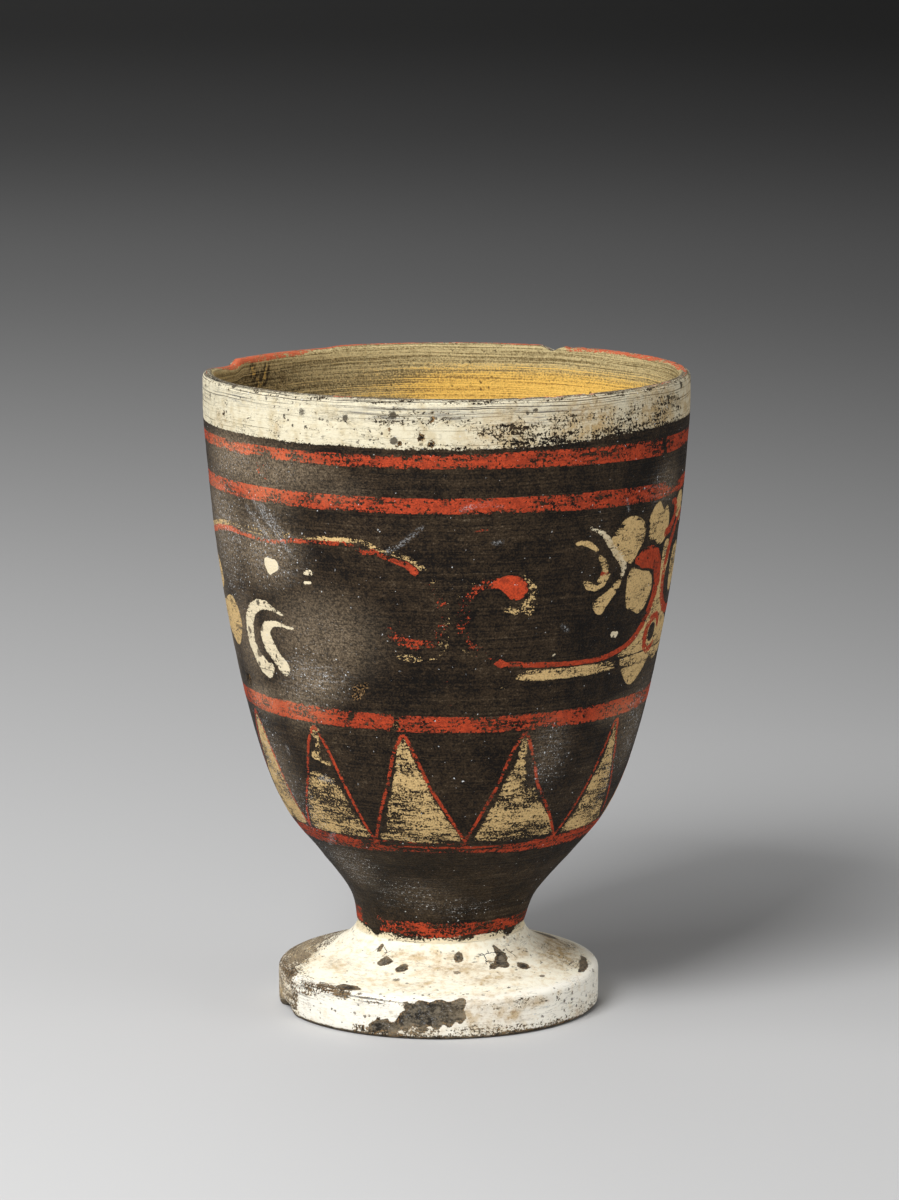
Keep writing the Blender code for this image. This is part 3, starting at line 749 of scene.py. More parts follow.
RUBBED_FADE = 1.6
RUBBED = {
    "foot top": (
        (((120, 31, 1.6), (150, 31.5, 2.2), (176, 31.3, 2.4), (190, 31.6, 2), (203, 32.4, 0.6)), 0.8),
        (((130, 27, 1.6), (156, 27.5, 3), (178, 27.6, 3), (188, 28.8, 1.6)), 0.74),
        (((150, 23, 1.6), (170, 23.4, 1.8), (184, 24.4, 1)), 0.6),
        (((194, 28.4, 0.6), (204, 30.6, 0.6), (216, 32.3, 0.4)), 0.54),
        (((332, 29.4, 0.8), (346, 28.6, 2), (366, 28, 2.6), (392, 28, 2)), 0.46),
        (((334, 24, 0.8), (350, 23.4, 1.6), (372, 23.4, 1.6)), 0.38),
    ),
    "outside": (
        (((150, 4.5, 4), (170, 4.5, 4.2), (190, 4.5, 4.2), (203, 4.3, 3.6)), 0.66),
        (((204, 7.7, 0.5), (214, 7.9, 0.7), (228, 7.6, 0.6), (246, 7.7, 0.6), (257, 7.6, 0.4)), 0.52),
        (((207, 6.2, 0.5), (218, 6.6, 0.6), (230, 6.8, 0.4)), 0.4),
        (((222, 8.5, 0.3), (229, 8.4, 0.5), (236, 8.2, 0.3)), 0.95),
        (((284, 6.2, 0.5), (300, 6.8, 0.8), (318, 6.6, 0.6)), 0.42),
        (((240, 1.2, 0.7), (280, 1.2, 0.8), (320, 1, 0.7), (359, 1.2, 0.8)), 0.62),
    ),
}
for wall, strokes in RUBBED.items():
    for points, wear in strokes:
        rub(stroke(points, wall=wall), wear, RUBBED_FADE)

SCUFFS = (
    ((218, 110.2, 0.5), (221, 107.8, 0.8), (224.6, 105, 0.6), (229.6, 100.4, 0.4)),
    ((220.6, 110, 0.3), (224, 107.4, 0.5), (227.6, 104.6, 0.3)),
    ((214.6, 108.6, 0.4), (219, 105.2, 0.5), (224.2, 101.4, 0.3)),
    ((256, 102.2, 0.35), (258.6, 103.6, 0.25), (260.6, 104.7, 0.3), (264.4, 107.5, 0.22)),
    ((273.4, 110.9, 0.25), (276.6, 111.9, 0.35), (280, 112.1, 0.3), (283.2, 111.7, 0.2)),
    ((317.2, 110.8, 0.2), (318.2, 108.4, 0.25)),
    ((217.6, 37.2, 0.4), (221.6, 39, 0.6), (225.8, 40.8, 0.4)),
    ((215.5, 58.6, 0.4), (215.8, 57.4, 0.5)),
    ((210.6, 47.7, 0.3), (211.8, 47, 0.4)),
    ((227.8, 52.9, 0.5), (230.4, 53.3, 0.7), (233.2, 52.7, 0.4)),
    ((281, 104.2, 0.2), (283, 104.3, 0.3)),
    ((300, 86.5, 0.15), (301.6, 85.4, 0.3)),
    ((94, 99, 0.4), (101, 103.5, 0.6), (109, 106.8, 0.4)),
    ((42, 84, 0.3), (47, 79, 0.5)),
)
for points in SCUFFS:
    lay("scuffed", stroke(points))

CLOUD_FULLNESS = 1.15
PIT_PAINT_LOSS = 1.2


def cloud(at_angle, level, half_across, half_along, wall="outside"):
    """A soft patch, 1 in its middle and 0 at its edge."""
    across, along = distances_from(at_angle, level, wall)
    return smooth_step(CLOUD_FULLNESS * (1.0 - np.hypot(across / half_across, along / half_along)))


# Dust clouds. The thick ones at 186 to 242 degrees, facing the key soft box, also stand for a painted sheen.
DUST_AND_SHEEN_CLOUDS = (
    (0.7, 236, 84, 20, 14), (0.6, 206, 80, 10, 16), (0.6, 232, 117.4, 16, 4), (1, 210, 118, 22, 9),
    (0.8, 226, 117, 18, 8), (0.8, 200, 104, 18, 18), (0.7, 222, 114, 14, 12), (0.35, 242, 114, 12, 5),
    (0.85, 220, 100, 16, 12), (0.55, 212, 117, 14, 4), (0.5, 186, 88, 12, 26), (0.9, 232, 75, 12, 9),
    (0.75, 226, 69, 12, 8), (0.9, 208, 68, 12, 6), (0.6, 205, 52, 12, 14), (0.4, 222, 33, 9, 10),
    (0.2, 262, 27, 12, 9), (0.5, 338, 62, 12, 16), (0.7, 330, 66, 14, 5), (0.3, 300, 60, 8, 12),
    (0.55, 336, 112, 9, 8), (0.5, 40, 98, 26, 20), (0.7, 96, 64, 18, 20), (0.5, 150, 104, 22, 16),
    (0.6, 128, 40, 14, 12),
)
STAINED = {
    "foot top": (
        (0.75, 276, 22.5, 13, 3.6), (0.5, 246, 19.5, 8, 3), (0.65, 296, 26.5, 12, 2.6),
        (0.9, 264, 27.5, 5, 1), (1, 288, 28.4, 0.9, 0.8), (0.55, 214, 25, 8, 4), (0.8, 345, 27, 12, 5),
        (0.7, 60, 24, 14, 5), (0.95, 352, 25, 13, 6.5), (0.8, 376, 25, 14, 6.5), (0.6, 322, 20.5, 6, 3),
        (0.6, 262, 19.6, 12, 2.4), (0.9, 172, 29, 20, 6), (0.3, 250, 28.5, 16, 3),
    ),
    "outside": (
        (0.8, 296, 4.4, 5.5, 2.8), (0.7, 306, 6.4, 7, 1.6), (0.85, 281, 4.6, 2, 4.2),
        (0.75, 262, 1.8, 10, 1.3), (0.6, 331, 1.8, 5, 1.5), (1, 190, 4, 14, 6),
        (0.7, 264.6, 125.7, 1.4, 1.3), (0.45, 228, 125.4, 1.2, 2), (0.3, 205, 125, 7, 3),
        (0.55, 284, 126, 13, 7), (0.55, 288, 5.6, 14, 7), (0.9, 304, 126.6, 14, 8), (0.8, 328, 127, 16, 9),
        (0.7, 352, 127, 16, 9), (0.8, 312, 97, 9, 11), (0.6, 120, 4, 9, 3.5),
    ),
}
SPECKED = (
    (0.9, 202, 102, 14, 20), (0.8, 222, 101, 14, 11), (1, 232, 75, 13, 8), (0.85, 203, 56, 9, 15),
    (0.75, 214, 45, 9, 10), (1, 222, 33, 11, 10), (0.8, 250, 27, 12, 7), (0.7, 284, 24, 10, 4),
    (1, 341, 60, 7, 13), (0.9, 331, 52, 4, 11), (0.9, 338, 66.8, 8, 3), (0.75, 301, 59, 6, 11),
    (0.55, 332, 112, 9, 6), (0.7, 40, 98, 22, 18), (0.9, 96, 64, 16, 18), (0.7, 150, 104, 20, 14),
    (0.8, 128, 40, 12, 12),
)
SCRAPED = {
    "outside": (
        (1, 222, 7.9, 15, 1.6), (1, 246, 7.8, 13, 1.6), (0.6, 213, 6.2, 6, 1.8), (0.5, 292, 6.8, 9, 1),
        (0.75, 262, 129.6, 22, 2), (0.9, 294, 128.8, 18, 2.6), (0.55, 214, 130.2, 16, 1.8),
        (0.6, 90, 129.8, 30, 2),
    ),
}
CRACKED = {
    "foot top": ((1, 306, 20.4, 9, 3.6), (0.8, 232, 19.4, 5, 2.4), (0.9, 100, 22, 9, 4)),
}
# The ochre wash round the inside, strongest on the back right where the light falls into the bowl and
# weakest on the shaded left, so partly painted light.
OCHRE_AND_LIGHT_ROUND = (
    (0, 0.62), (25, 0.86), (60, 1), (92, 0.9), (106, 0.55), (120, 0.3), (150, 0.22), (185, 0.3), (215, 0.5),
    (270, 0.62), (330, 0.6),
)
# Soot round the inside; at the back left it also stands for painted shade, where the lip's shadow falls
SOOT_AND_SHADE_ROUND = ((0, 0), (92, 0), (112, 0.42), (135, 0.8), (170, 0.8), (200, 0.55), (240, 0.2), (290, 0.05))
OCHRE_AND_LIGHT_STARTS = 1.5
OCHRE_AND_LIGHT_FULL = 10.0
SOOT_AND_SHADE_STARTS = 1.0
SOOT_AND_SHADE_FULL = 5.0
patches = {name: np.zeros(count) for name in ("pitted", "ochre", "soot")}
for pit_angle, pit_height, pit_radius, _ in PITS:
    lost = PIT_PAINT_LOSS * pit_radius
    pit = cloud(pit_angle, pit_height, lost, lost)
    patches["pitted"] = np.maximum(patches["pitted"], pit)
on_bowl = {"dusty": {"outside": DUST_AND_SHEEN_CLOUDS}, "specked": {"outside": SPECKED}}
on_walls = {"stained": STAINED, "scraped": SCRAPED, "cracked": CRACKED}
for name, walls in {**on_bowl, **on_walls}.items():
    patches[name] = np.zeros(count)
    for wall, clouds in walls.items():
        for strength, *spread in clouds:
            patches[name] = np.maximum(patches[name], strength * cloud(*spread, wall))
LIP_CREST = -0.55
LIP_DUST = 0.6
LIP_DUST_ENDS = 4.0
inward = run - lip_run
below_lip = smooth_step((inward - OCHRE_AND_LIGHT_STARTS) / (OCHRE_AND_LIGHT_FULL - OCHRE_AND_LIGHT_STARTS))
patches["ochre"] = np.interp(angle, *zip(*OCHRE_AND_LIGHT_ROUND), period=360.0) * below_lip
in_bowl = smooth_step((inward - SOOT_AND_SHADE_STARTS) / (SOOT_AND_SHADE_FULL - SOOT_AND_SHADE_STARTS))
patches["soot"] = np.interp(angle, *zip(*SOOT_AND_SHADE_ROUND), period=360.0) * in_bowl
# A raised V-shaped ridge inside the lip at the back left, in colour only: the dark edge round its strokes is
# a painted shadow, and the ochre middle a painted highlight along its top.
SCRATCHES_INSIDE = (
    ((149.8, 130.4, 0.5), (147.8, 128, 0.6), (146.2, 125.8, 0.4)),
    ((146.2, 125.8, 0.4), (144.4, 128.2, 0.6), (143.2, 130.2, 0.4)),
)
SCRATCH_SHADOW_REACH = 0.7
SCRATCH_CORE = 0.05
scratched = np.maximum(*(stroke(points, wall="inside") for points in SCRATCHES_INSIDE))
for name, at_edge, in_middle in (("soot", 1.6, 0.25), ("ochre", 0.0, 0.62)):
    patches[name][scratched > -SCRATCH_SHADOW_REACH] = at_edge
    patches[name][scratched > SCRATCH_CORE] = in_middle
over_crest = (inward > LIP_CREST - 0.2) & (inward < LIP_DUST_ENDS)
patches["dusty"] = np.maximum(patches["dusty"], LIP_DUST * over_crest)


# The lip's red: a thin, uneven line of vermilion brushed along the inner edge, broad at the back, where it
# is worn through at the notch, and mostly gone at the front.
LIP_RED_WORN = 0.5
LIP_RED_DEPTH = (
    (0, 0.5), (4, 1.3), (16, 1), (30, 1.6), (44, 1.3), (57, 1.7), (59.5, 0), (65, 0), (67, 0.7), (100, 0.6),
    (126, 0.8), (131, 1.8), (147, 2.1), (157, 1.7), (165, 1.3), (171, 0.3), (184, -0.3), (200, -1),
    (242, -1), (244, 0.5), (247, 0.5), (249, -1), (285, -1), (287, 0.6), (290, 0.5), (291, -1), (293, 0.3),
    (297, 0.4), (299, -1), (303, 0.4), (307, 0.3), (309, -1), (330, 0), (334, 0.2), (337, -0.8), (352, -0.2),
)
lip_red_reach = np.interp(angle, *zip(*LIP_RED_DEPTH), period=360.0)
on_lip_inside = np.minimum(inward - LIP_CREST, lip_red_reach - inward)
lay("red", np.maximum(on_lip_inside, -FAR), LIP_RED_WORN)

for name, depths in {**coats, **patches, "worn": worn}.items():
    layer = goblet.data.attributes.new(name, "FLOAT", "POINT")
    layer.data.foreach_set("value", depths)


# The finish, from the body outwards: dark grey clay, a brown-black ground rubbed smooth on the wheel, then
# the coats of paint with their flakes, pits and brush lines, and last the dust that lies in the surface.
# Dust laid thick on the bowl's left front, on the ground and on the red, is also a painted sheen there.
# Places are in millimetres round the goblet and along its half section, so lines follow the wheel.
def eye_colour(red, green, blue):
    """A colour as the eye sees it, from 0 to 255, as the share of light that it throws back."""
    return tuple(((value / 255 + 0.055) / 1.055) ** 2.4 for value in (red, green, blue)) + (1.0,)


CLAY_CHARCOAL = eye_colour(36, 32, 27)
CLAY_GREY = eye_colour(120, 110, 93)
CLAY_BROWN = eye_colour(146, 114, 74)
CLAY_DIRTY = eye_colour(158, 141, 114)
GROUND_BLACK = eye_colour(13, 8, 4)
GROUND_BROWN = eye_colour(58, 45, 30)
GROUND_DUST_AND_SHEEN = eye_colour(120, 107, 88)
CREAM_PAINT = eye_colour(224, 215, 188)
CREAM_THIN = eye_colour(154, 149, 136)
CREAM_SHADOW = eye_colour(196, 178, 138)
CURL_CREAM = eye_colour(232, 217, 184)
FOOT_CREAM = eye_colour(252, 247, 233)
FOOT_TOP_CREAM = eye_colour(251, 244, 223)
FOOT_SHADOW = eye_colour(228, 207, 166)
BUFF_PAINT = eye_colour(216, 184, 128)
BUFF_DARK = eye_colour(146, 115, 70)
RED_PAINT = eye_colour(190, 72, 40)
RED_BRIGHT = eye_colour(208, 76, 40)
RED_DARK = eye_colour(120, 44, 27)
RED_DUST_AND_SHEEN = eye_colour(230, 138, 98)
OLIVE_FILM = eye_colour(204, 186, 138)
OLIVE_DARK = eye_colour(112, 96, 60)
OCHRE = eye_colour(240, 196, 100)
OCHRE_DARK = eye_colour(178, 134, 62)
SOOT_AND_SHADE_BROWN = eye_colour(46, 36, 24)
STAIN = eye_colour(190, 160, 110)
STAIN_DARK = eye_colour(146, 112, 70)
SCRAPED_AND_GLINT_GREY = eye_colour(124, 126, 128)
DUST = eye_colour(204, 206, 207)
HAZE_AND_SHEEN = eye_colour(162, 143, 118)


def add_node(kind, sockets=None, **settings):
    """Adds a node to the tree being drawn, and gives its sockets plain values or other nodes' outputs."""
    node = tree.nodes.new(kind)
    for name, value in settings.items():
        setattr(node, name, value)
    for socket, value in (sockets or {}).items():
        if isinstance(value, bpy.types.NodeSocket):
            tree.links.new(value, node.inputs[socket])
        else:
            node.inputs[socket].default_value = value
    return node


def maths(operation, first, second=0.0, third=0.0):
    return add_node("ShaderNodeMath", {0: first, 1: second, 2: third}, operation=operation).outputs[0]


def both(first, second):
    return maths("MULTIPLY", first, second)


def either(first, second):
    return maths("MAXIMUM", first, second)


def inverse(value):
    return maths("SUBTRACT", 1.0, value)


def weighed(*parts, onto=0.0):
    """Adds up values, each with its own weight."""
    for value, weight in parts:
        onto = maths("MULTIPLY_ADD", value, weight, onto)
    return onto


def vectors(operation, first, second):
    return add_node("ShaderNodeVectorMath", {0: first, 1: second}, operation=operation).outputs[0]


def eased(value, low, high, start=0.0, end=1.0):
    """Runs smoothly from start to end while the value goes from low to high."""
    sockets = {"Value": value, "From Min": low, "From Max": high, "To Min": start, "To Max": end}
    return add_node("ShaderNodeMapRange", sockets, interpolation_type="SMOOTHSTEP").outputs["Result"]


def over(share, under, upper):
    """Lays an upper colour over a colour by a share from 0 to 1."""
    mixer = add_node("ShaderNodeMix", {"Factor": share, 6: under, 7: upper}, data_type="RGBA")
    return mixer.outputs[2]


def tinted(under, upper, value, *limits):
    """Lays an upper colour over a colour where a value runs between its limits."""
    return over(eased(value, *limits), under, upper)


def noise_at(place, scale, detail=3.0, roughness=0.55, stretch=(1.0, 1.0, 1.0), shift=0.0):
    """Noise from 0 to 1 with features about 1 / scale millimetres wide."""
    moves = {"Vector": place, "Location": (shift,) * 3, "Scale": stretch}
    moved = add_node("ShaderNodeMapping", moves)
    sockets = {"Vector": moved.outputs[0], "Scale": scale, "Detail": detail, "Roughness": roughness}
    return add_node("ShaderNodeTexNoise", sockets).outputs["Fac"]


def new_group(name, inputs, outputs):
    """Starts a shader node group; its inputs are given as name and first value, None for a place."""
    tree = bpy.data.node_groups.new(name, "ShaderNodeTree")
    for label, value in inputs.items():
        kind = "NodeSocketVector" if value is None else "NodeSocketFloat"
        socket = tree.interface.new_socket(label, in_out="INPUT", socket_type=kind)
        if value is not None:
            socket.default_value = value
    for label in outputs:
        tree.interface.new_socket(label, in_out="OUTPUT", socket_type="NodeSocketFloat")
    return tree, tree.nodes.new("NodeGroupInput").outputs, tree.nodes.new("NodeGroupOutput").inputs


# Fine lines left by the turning wheel and the brush
wants = {"Place": None, "Lines per mm": 1.0, "Wander": 2.0, "Seed": 0.0}
tree, given, result = new_group("wheel lines", wants, ["Lines"])
around = vectors("MULTIPLY", given["Place"], (0.03, 0.03, 0.0))
upright = add_node("ShaderNodeSeparateXYZ", {0: given["Place"]}).outputs["Z"]
wobble = noise_at(given["Place"], 0.06, detail=2.0)
upright = maths("MULTIPLY_ADD", wobble, given["Wander"], upright)
rows = maths("MULTIPLY_ADD", upright, given["Lines per mm"], given["Seed"])
stacked = add_node("ShaderNodeCombineXYZ", {2: rows}).outputs[0]
sockets = {"Vector": vectors("ADD", around, stacked), "Scale": 1.0, "Detail": 4.0, "Roughness": 0.62}
tree.links.new(add_node("ShaderNodeTexNoise", sockets).outputs["Fac"], result["Lines"])

# A coat of paint with a ragged edge, lost in flecks and cracks where it is worn
wants = {"Place": None, "Depth": 1.0, "Wear": 0.3, "Ragged": 0.4}
wants |= {"Flecks per mm": 1.6, "Cracks": 0.5, "Seed": 0.0}
tree, given, result = new_group("flaked coat", wants, ["Coat", "Edge"])
seed = add_node("ShaderNodeCombineXYZ", {axis: given["Seed"] for axis in range(3)}).outputs[0]
place = vectors("ADD", given["Place"], seed)
edge_noise = noise_at(place, 1.3, detail=4.0, roughness=0.68, stretch=(0.8, 0.8, 1.2))
jitter = both(maths("SUBTRACT", edge_noise, 0.5), given["Ragged"])
depth = maths("ADD", given["Depth"], jitter)
inside_edge = eased(depth, -0.03, 0.09)
sockets = {"Vector": place, "Scale": given["Flecks per mm"], "Detail": 4.0, "Roughness": 0.66}
fine = add_node("ShaderNodeTexNoise", sockets).outputs["Fac"]
patchy = noise_at(place, 0.20, detail=3.0, roughness=0.6, stretch=(0.7, 0.7, 1.5))
streaks = noise_at(place, 1.0, detail=3.0, roughness=0.6, stretch=(0.22, 0.22, 1.7))
value = weighed((patchy, 0.26), (fine, 0.48), (streaks, 0.26))
near_edge = eased(depth, 0.0, 0.6, -0.03, 0.012)
threshold = maths("ADD", maths("MULTIPLY_ADD", given["Wear"], -0.27, 0.665), near_edge)
excess = maths("SUBTRACT", value, threshold)
kept = eased(excess, -0.003, 0.005, 1.0, 0.0)
crack_noise = noise_at(place, 1.0, detail=3.0, roughness=0.6, stretch=(0.20, 0.20, 1.1), shift=5.0)
crack_line = maths("ABSOLUTE", maths("SUBTRACT", crack_noise, 0.5))
crack_patch = eased(patchy, 0.44, 0.56)
cracked = both(eased(crack_line, 0.010, 0.030, 1.0, 0.0), crack_patch)
uncracked = inverse(both(cracked, given["Cracks"]))
coat = both(both(inside_edge, kept), uncracked)
tree.links.new(coat, result["Coat"])
tree.links.new(eased(excess, -0.04, 0.0), result["Edge"])

# Round specks and pits, each of its own size
wants = {"Place": None, "Per mm": 0.8, "Share": 0.2, "Size": 0.3}
tree, given, result = new_group("specks", wants, ["Specks"])
shaken = add_node("ShaderNodeTexNoise", {"Vector": given["Place"], "Scale": 2.4, "Detail": 3.0})
place = vectors("ADD", given["Place"], vectors("MULTIPLY", shaken.outputs["Color"], (0.8, 0.8, 0.8)))
cells = add_node("ShaderNodeTexVoronoi", {"Vector": place, "Scale": given["Per mm"]})
chance = add_node("ShaderNodeSeparateColor", {0: cells.outputs["Color"]}).outputs
chosen = maths("LESS_THAN", chance["Red"], given["Share"])
reach = both(maths("ADD", chance["Green"], 0.2), given["Size"])
spot = eased(maths("DIVIDE", cells.outputs["Distance"], reach), 0.7, 1.0, 1.0, 0.0)
tree.links.new(both(spot, chosen), result["Specks"])

FAINT_SHEEN = 0.14
SLIP_ENDS = STEM_HEIGHT - 0.8
CURLS_END = FRIEZE_HIGHEST + 5.0


def new_finish(name):
    """Starts a material with an empty node tree."""
    made = bpy.data.materials.new(name)
    made.use_nodes = True
    made.node_tree.nodes.clear()
    return made, made.node_tree


def show_surface(sockets):
    shader = add_node("ShaderNodeBsdfPrincipled", sockets)
    add_node("ShaderNodeOutputMaterial", {"Surface": shader.outputs[0]})


finish, tree = new_finish("cold_painted_earthenware")
attribute = {
    name: add_node("ShaderNodeAttribute", attribute_name=name).outputs["Fac"]
    for name in (*coats, *patches, "worn", "run")
}
where = add_node("ShaderNodeTexCoord").outputs["Object"]
split = add_node("ShaderNodeSeparateXYZ", {0: vectors("MULTIPLY", where, (1 / MM,) * 3)}).outputs
place = add_node("ShaderNodeCombineXYZ", {0: split[0], 1: split[1], 2: attribute["run"]}).outputs[0]


def effect(group, **sockets):
    """Places a node group in the goblet's finish; an underscore stands for a space in a socket's name."""
    node = add_node("ShaderNodeGroup", node_tree=bpy.data.node_groups[group])
    for label, value in {"Place": place, **sockets}.items():
        socket = node.inputs[label.replace("_", " ")]
        if isinstance(value, bpy.types.NodeSocket):
            tree.links.new(value, socket)
        else:
            socket.default_value = value
    return node.outputs


def coat_of(name, **looks):
    """One coat of paint, flaked by how worn it is at each place."""
    return effect("flaked coat", Depth=attribute[name], Wear=attribute["worn"], **looks)


# The parts of the goblet: inside, foot, foot wall, frieze and lip
inward = maths("SUBTRACT", attribute["run"], float(lip_run))
stem_run = float(run_at(SLIP_ENDS))
foot_edge_run = float(run_at(FOOT_EDGE_HEIGHT))
frieze_run = float(run_at(CURLS_END))
is_inside = eased(inward, 0.2, 0.9)
is_outside = inverse(is_inside)
is_foot = eased(attribute["run"], stem_run - 0.4, stem_run + 0.4, 1.0, 0.0)
off_foot = inverse(is_foot)
is_foot_wall = eased(attribute["run"], foot_edge_run - 0.5, foot_edge_run + 1.5, 1.0, 0.0)
is_frieze = eased(attribute["run"], frieze_run - 0.5, frieze_run + 0.5, 1.0, 0.0)
from_lip = maths("ABSOLUTE", inward)
near_lip = eased(from_lip, 0.8, 7.5, 1.0, 0.0)

# The unevenness that the clay and all the coats share
fine_lines = effect("wheel lines", Lines_per_mm=2.3, Wander=1.2, Seed=3.0)["Lines"]
hair_lines = effect("wheel lines", Lines_per_mm=4.4, Wander=1.0, Seed=11.0)["Lines"]
grain = noise_at(place, 2.6, detail=4.0, roughness=0.7)
grit = noise_at(place, 1.5, detail=5.0, roughness=0.72, stretch=(0.75, 0.75, 1.3), shift=19.0)
streaks = noise_at(place, 1.0, detail=4.0, roughness=0.6, stretch=(0.15, 0.15, 2.3), shift=31.0)
mottle = noise_at(place, 0.085, detail=4.0, roughness=0.62)
small_mottle = noise_at(place, 0.5, detail=4.0, roughness=0.62, shift=7.0)

# The dark ground and the bare clay; the ground's dust haze, thick on the left front, is also a painted sheen
shade = weighed((mottle, 0.16), (fine_lines, 0.14), (small_mottle, 0.12), (grit, 0.16), (hair_lines, 0.10))
shade = weighed((grain, 0.32), onto=shade)
ground = tinted(GROUND_BLACK, GROUND_BROWN, shade, 0.45, 0.555)
dust_and_sheen_level = weighed((attribute["dusty"], 0.05), onto=shade)
ground = tinted(ground, GROUND_DUST_AND_SHEEN, dust_and_sheen_level, 0.535, 0.65, 0.0, 0.85)
haze_and_sheen = both(attribute["dusty"], eased(maths("ADD", grit, grain), 0.82, 1.18, 0.16, 0.66))
ground = over(haze_and_sheen, ground, HAZE_AND_SHEEN)
clay_shade = weighed((small_mottle, 0.5), (grit, 0.5))
clay = tinted(CLAY_CHARCOAL, CLAY_GREY, clay_shade, 0.43, 0.60)
# Painted glints: small blue-grey flecks on the bare clay
clay = tinted(clay, SCRAPED_AND_GLINT_GREY, grain, 0.58, 0.64, 0.0, 0.8)
crumbs = both(eased(attribute["cream"], -0.8, -0.05), eased(grain, 0.52, 0.58))
clay = over(crumbs, clay, CLAY_BROWN)
dirty = both(attribute["stained"], eased(maths("ADD", streaks, grain), 0.86, 1.06, 0.2, 0.95))
clay = over(dirty, clay, CLAY_DIRTY)
lip_worn = both(eased(from_lip, 0.4, 1.3, 0.9, 0.0), eased(grit, 0.38, 0.52))
colour = over(is_foot, ground, clay)

# Cream slip: band, foot and curls, with pits, scrapes, stains and cracks
cream_out = coat_of("cream", Ragged=0.9, Flecks_per_mm=2.2, Cracks=0.30, Seed=4.0)
pits_share = maths("MULTIPLY_ADD", is_foot, -0.13, 0.17)
few_pits = effect("specks", Per_mm=0.40, Share=pits_share, Size=0.42)["Specks"]
fine_pits = effect("specks", Per_mm=1.3, Share=0.18, Size=0.46)["Specks"]
pitted_places = eased(noise_at(place, 0.14, detail=2.0, shift=3.0), 0.42, 0.60, 0.15, 1.0)
pitted = either(few_pits, both(fine_pits, pitted_places))
ragged = weighed((grit, 1.5), (grain, 1.5), onto=attribute["pitted"])
holed = both(eased(ragged, 2.00, 2.06), eased(attribute["pitted"], 0.02, 0.08))
colour = over(holed, colour, tinted(GROUND_BLACK, CLAY_BROWN, grain, 0.50, 0.60))
pitted = either(both(pitted, 0.85), holed)
cream_coat = both(cream_out["Coat"], inverse(pitted))
brushed = weighed((grain, 0.4), (hair_lines, 0.6))
cream = tinted(CREAM_PAINT, CREAM_SHADOW, small_mottle, 0.44, 0.72, 0.0, 0.6)
cream = tinted(cream, CREAM_SHADOW, brushed, 0.52, 0.66, 0.0, 0.7)
cream = over(both(eased(brushed, 0.47, 0.62), near_lip), cream, CREAM_THIN)
cream = over(is_frieze, cream, CURL_CREAM)
foot_top = tinted(FOOT_TOP_CREAM, FOOT_SHADOW, small_mottle, 0.46, 0.70, 0.0, 0.7)
foot_wall = tinted(FOOT_CREAM, FOOT_SHADOW, small_mottle, 0.50, 0.80, 0.0, 0.6)
cream_foot = over(is_foot_wall, foot_top, foot_wall)
cream = over(is_foot, cream, cream_foot)
grooved = weighed((near_lip, 0.085), onto=hair_lines)
cream = over(both(eased(grooved, 0.62, 0.66, 0.0, 0.9), off_foot), cream, CLAY_CHARCOAL)
scraped = both(attribute["scraped"], eased(streaks, 0.50, 0.60))
cream = over(scraped, cream, SCRAPED_AND_GLINT_GREY)
cream = over(both(attribute["scraped"], eased(streaks, 0.59, 0.66)), cream, CLAY_CHARCOAL)
cream = over(lip_worn, cream, CLAY_CHARCOAL)
stain_share = both(attribute["stained"], eased(small_mottle, 0.36, 0.62, 0.35, 1.0))
cream = over(stain_share, cream, STAIN)
cream = over(both(stain_share, eased(grit, 0.52, 0.62)), cream, STAIN_DARK)
bent = add_node("ShaderNodeTexNoise", {"Vector": place, "Scale": 0.6, "Detail": 4.0}).outputs["Color"]
crazed_place = vectors("ADD", place, vectors("MULTIPLY", bent, (1.6, 1.6, 1.6)))
sockets = {"Vector": crazed_place, "Scale": 0.30}
crazed = add_node("ShaderNodeTexVoronoi", sockets, feature="DISTANCE_TO_EDGE")
cracks = both(attribute["cracked"], eased(crazed.outputs["Distance"], 0.016, 0.034, 1.0, 0.0))
cream = tinted(cream, CLAY_CHARCOAL, cracks, 0.3, 0.6)
cream = over(both(cream_out["Edge"], 0.4), cream, CREAM_SHADOW)
colour = over(cream_coat, colour, cream)

# Buff leaves and triangles
buff_out = coat_of("buff", Ragged=0.6, Flecks_per_mm=2.4, Cracks=1.0, Seed=21.0)
buff = tinted(BUFF_PAINT, BUFF_DARK, grain, 0.44, 0.70, 0.0, 0.8)
buff_coat = both(buff_out["Coat"], inverse(both(fine_pits, 0.8)))
colour = over(buff_coat, colour, buff)

# The brushed inside: an olive film, ochre laid strongest on the lit right and soot with painted shade on the
# left
inside_lines = effect("wheel lines", Lines_per_mm=2.6, Wander=0.9, Seed=29.0)["Lines"]
fine_inside = effect("wheel lines", Lines_per_mm=6.0, Wander=0.8, Seed=47.0)["Lines"]
line_mix = weighed((fine_inside, 0.34), (inside_lines, 0.32), (grain, 0.34))
film = tinted(OLIVE_DARK, OLIVE_FILM, line_mix, 0.42, 0.55)
film = tinted(film, OLIVE_DARK, small_mottle, 0.50, 0.74, 0.0, 0.5)
ochre_and_light_share = maths("ADD", attribute["ochre"], maths("MULTIPLY_ADD", line_mix, 3.4, -1.85))
ochre = tinted(OCHRE_DARK, OCHRE, line_mix, 0.41, 0.54)
inner = tinted(film, ochre, ochre_and_light_share, 0.15, 0.75)
# Soot and painted shade darken the inside's left
inner = over(both(attribute["soot"], eased(line_mix, 0.43, 0.56, 1.0, 0.38)), inner, SOOT_AND_SHADE_BROWN)
inner = over(both(fine_pits, eased(mottle, 0.44, 0.60, 0.1, 0.75)), inner, SOOT_AND_SHADE_BROWN)
colour = over(is_inside, colour, inner)

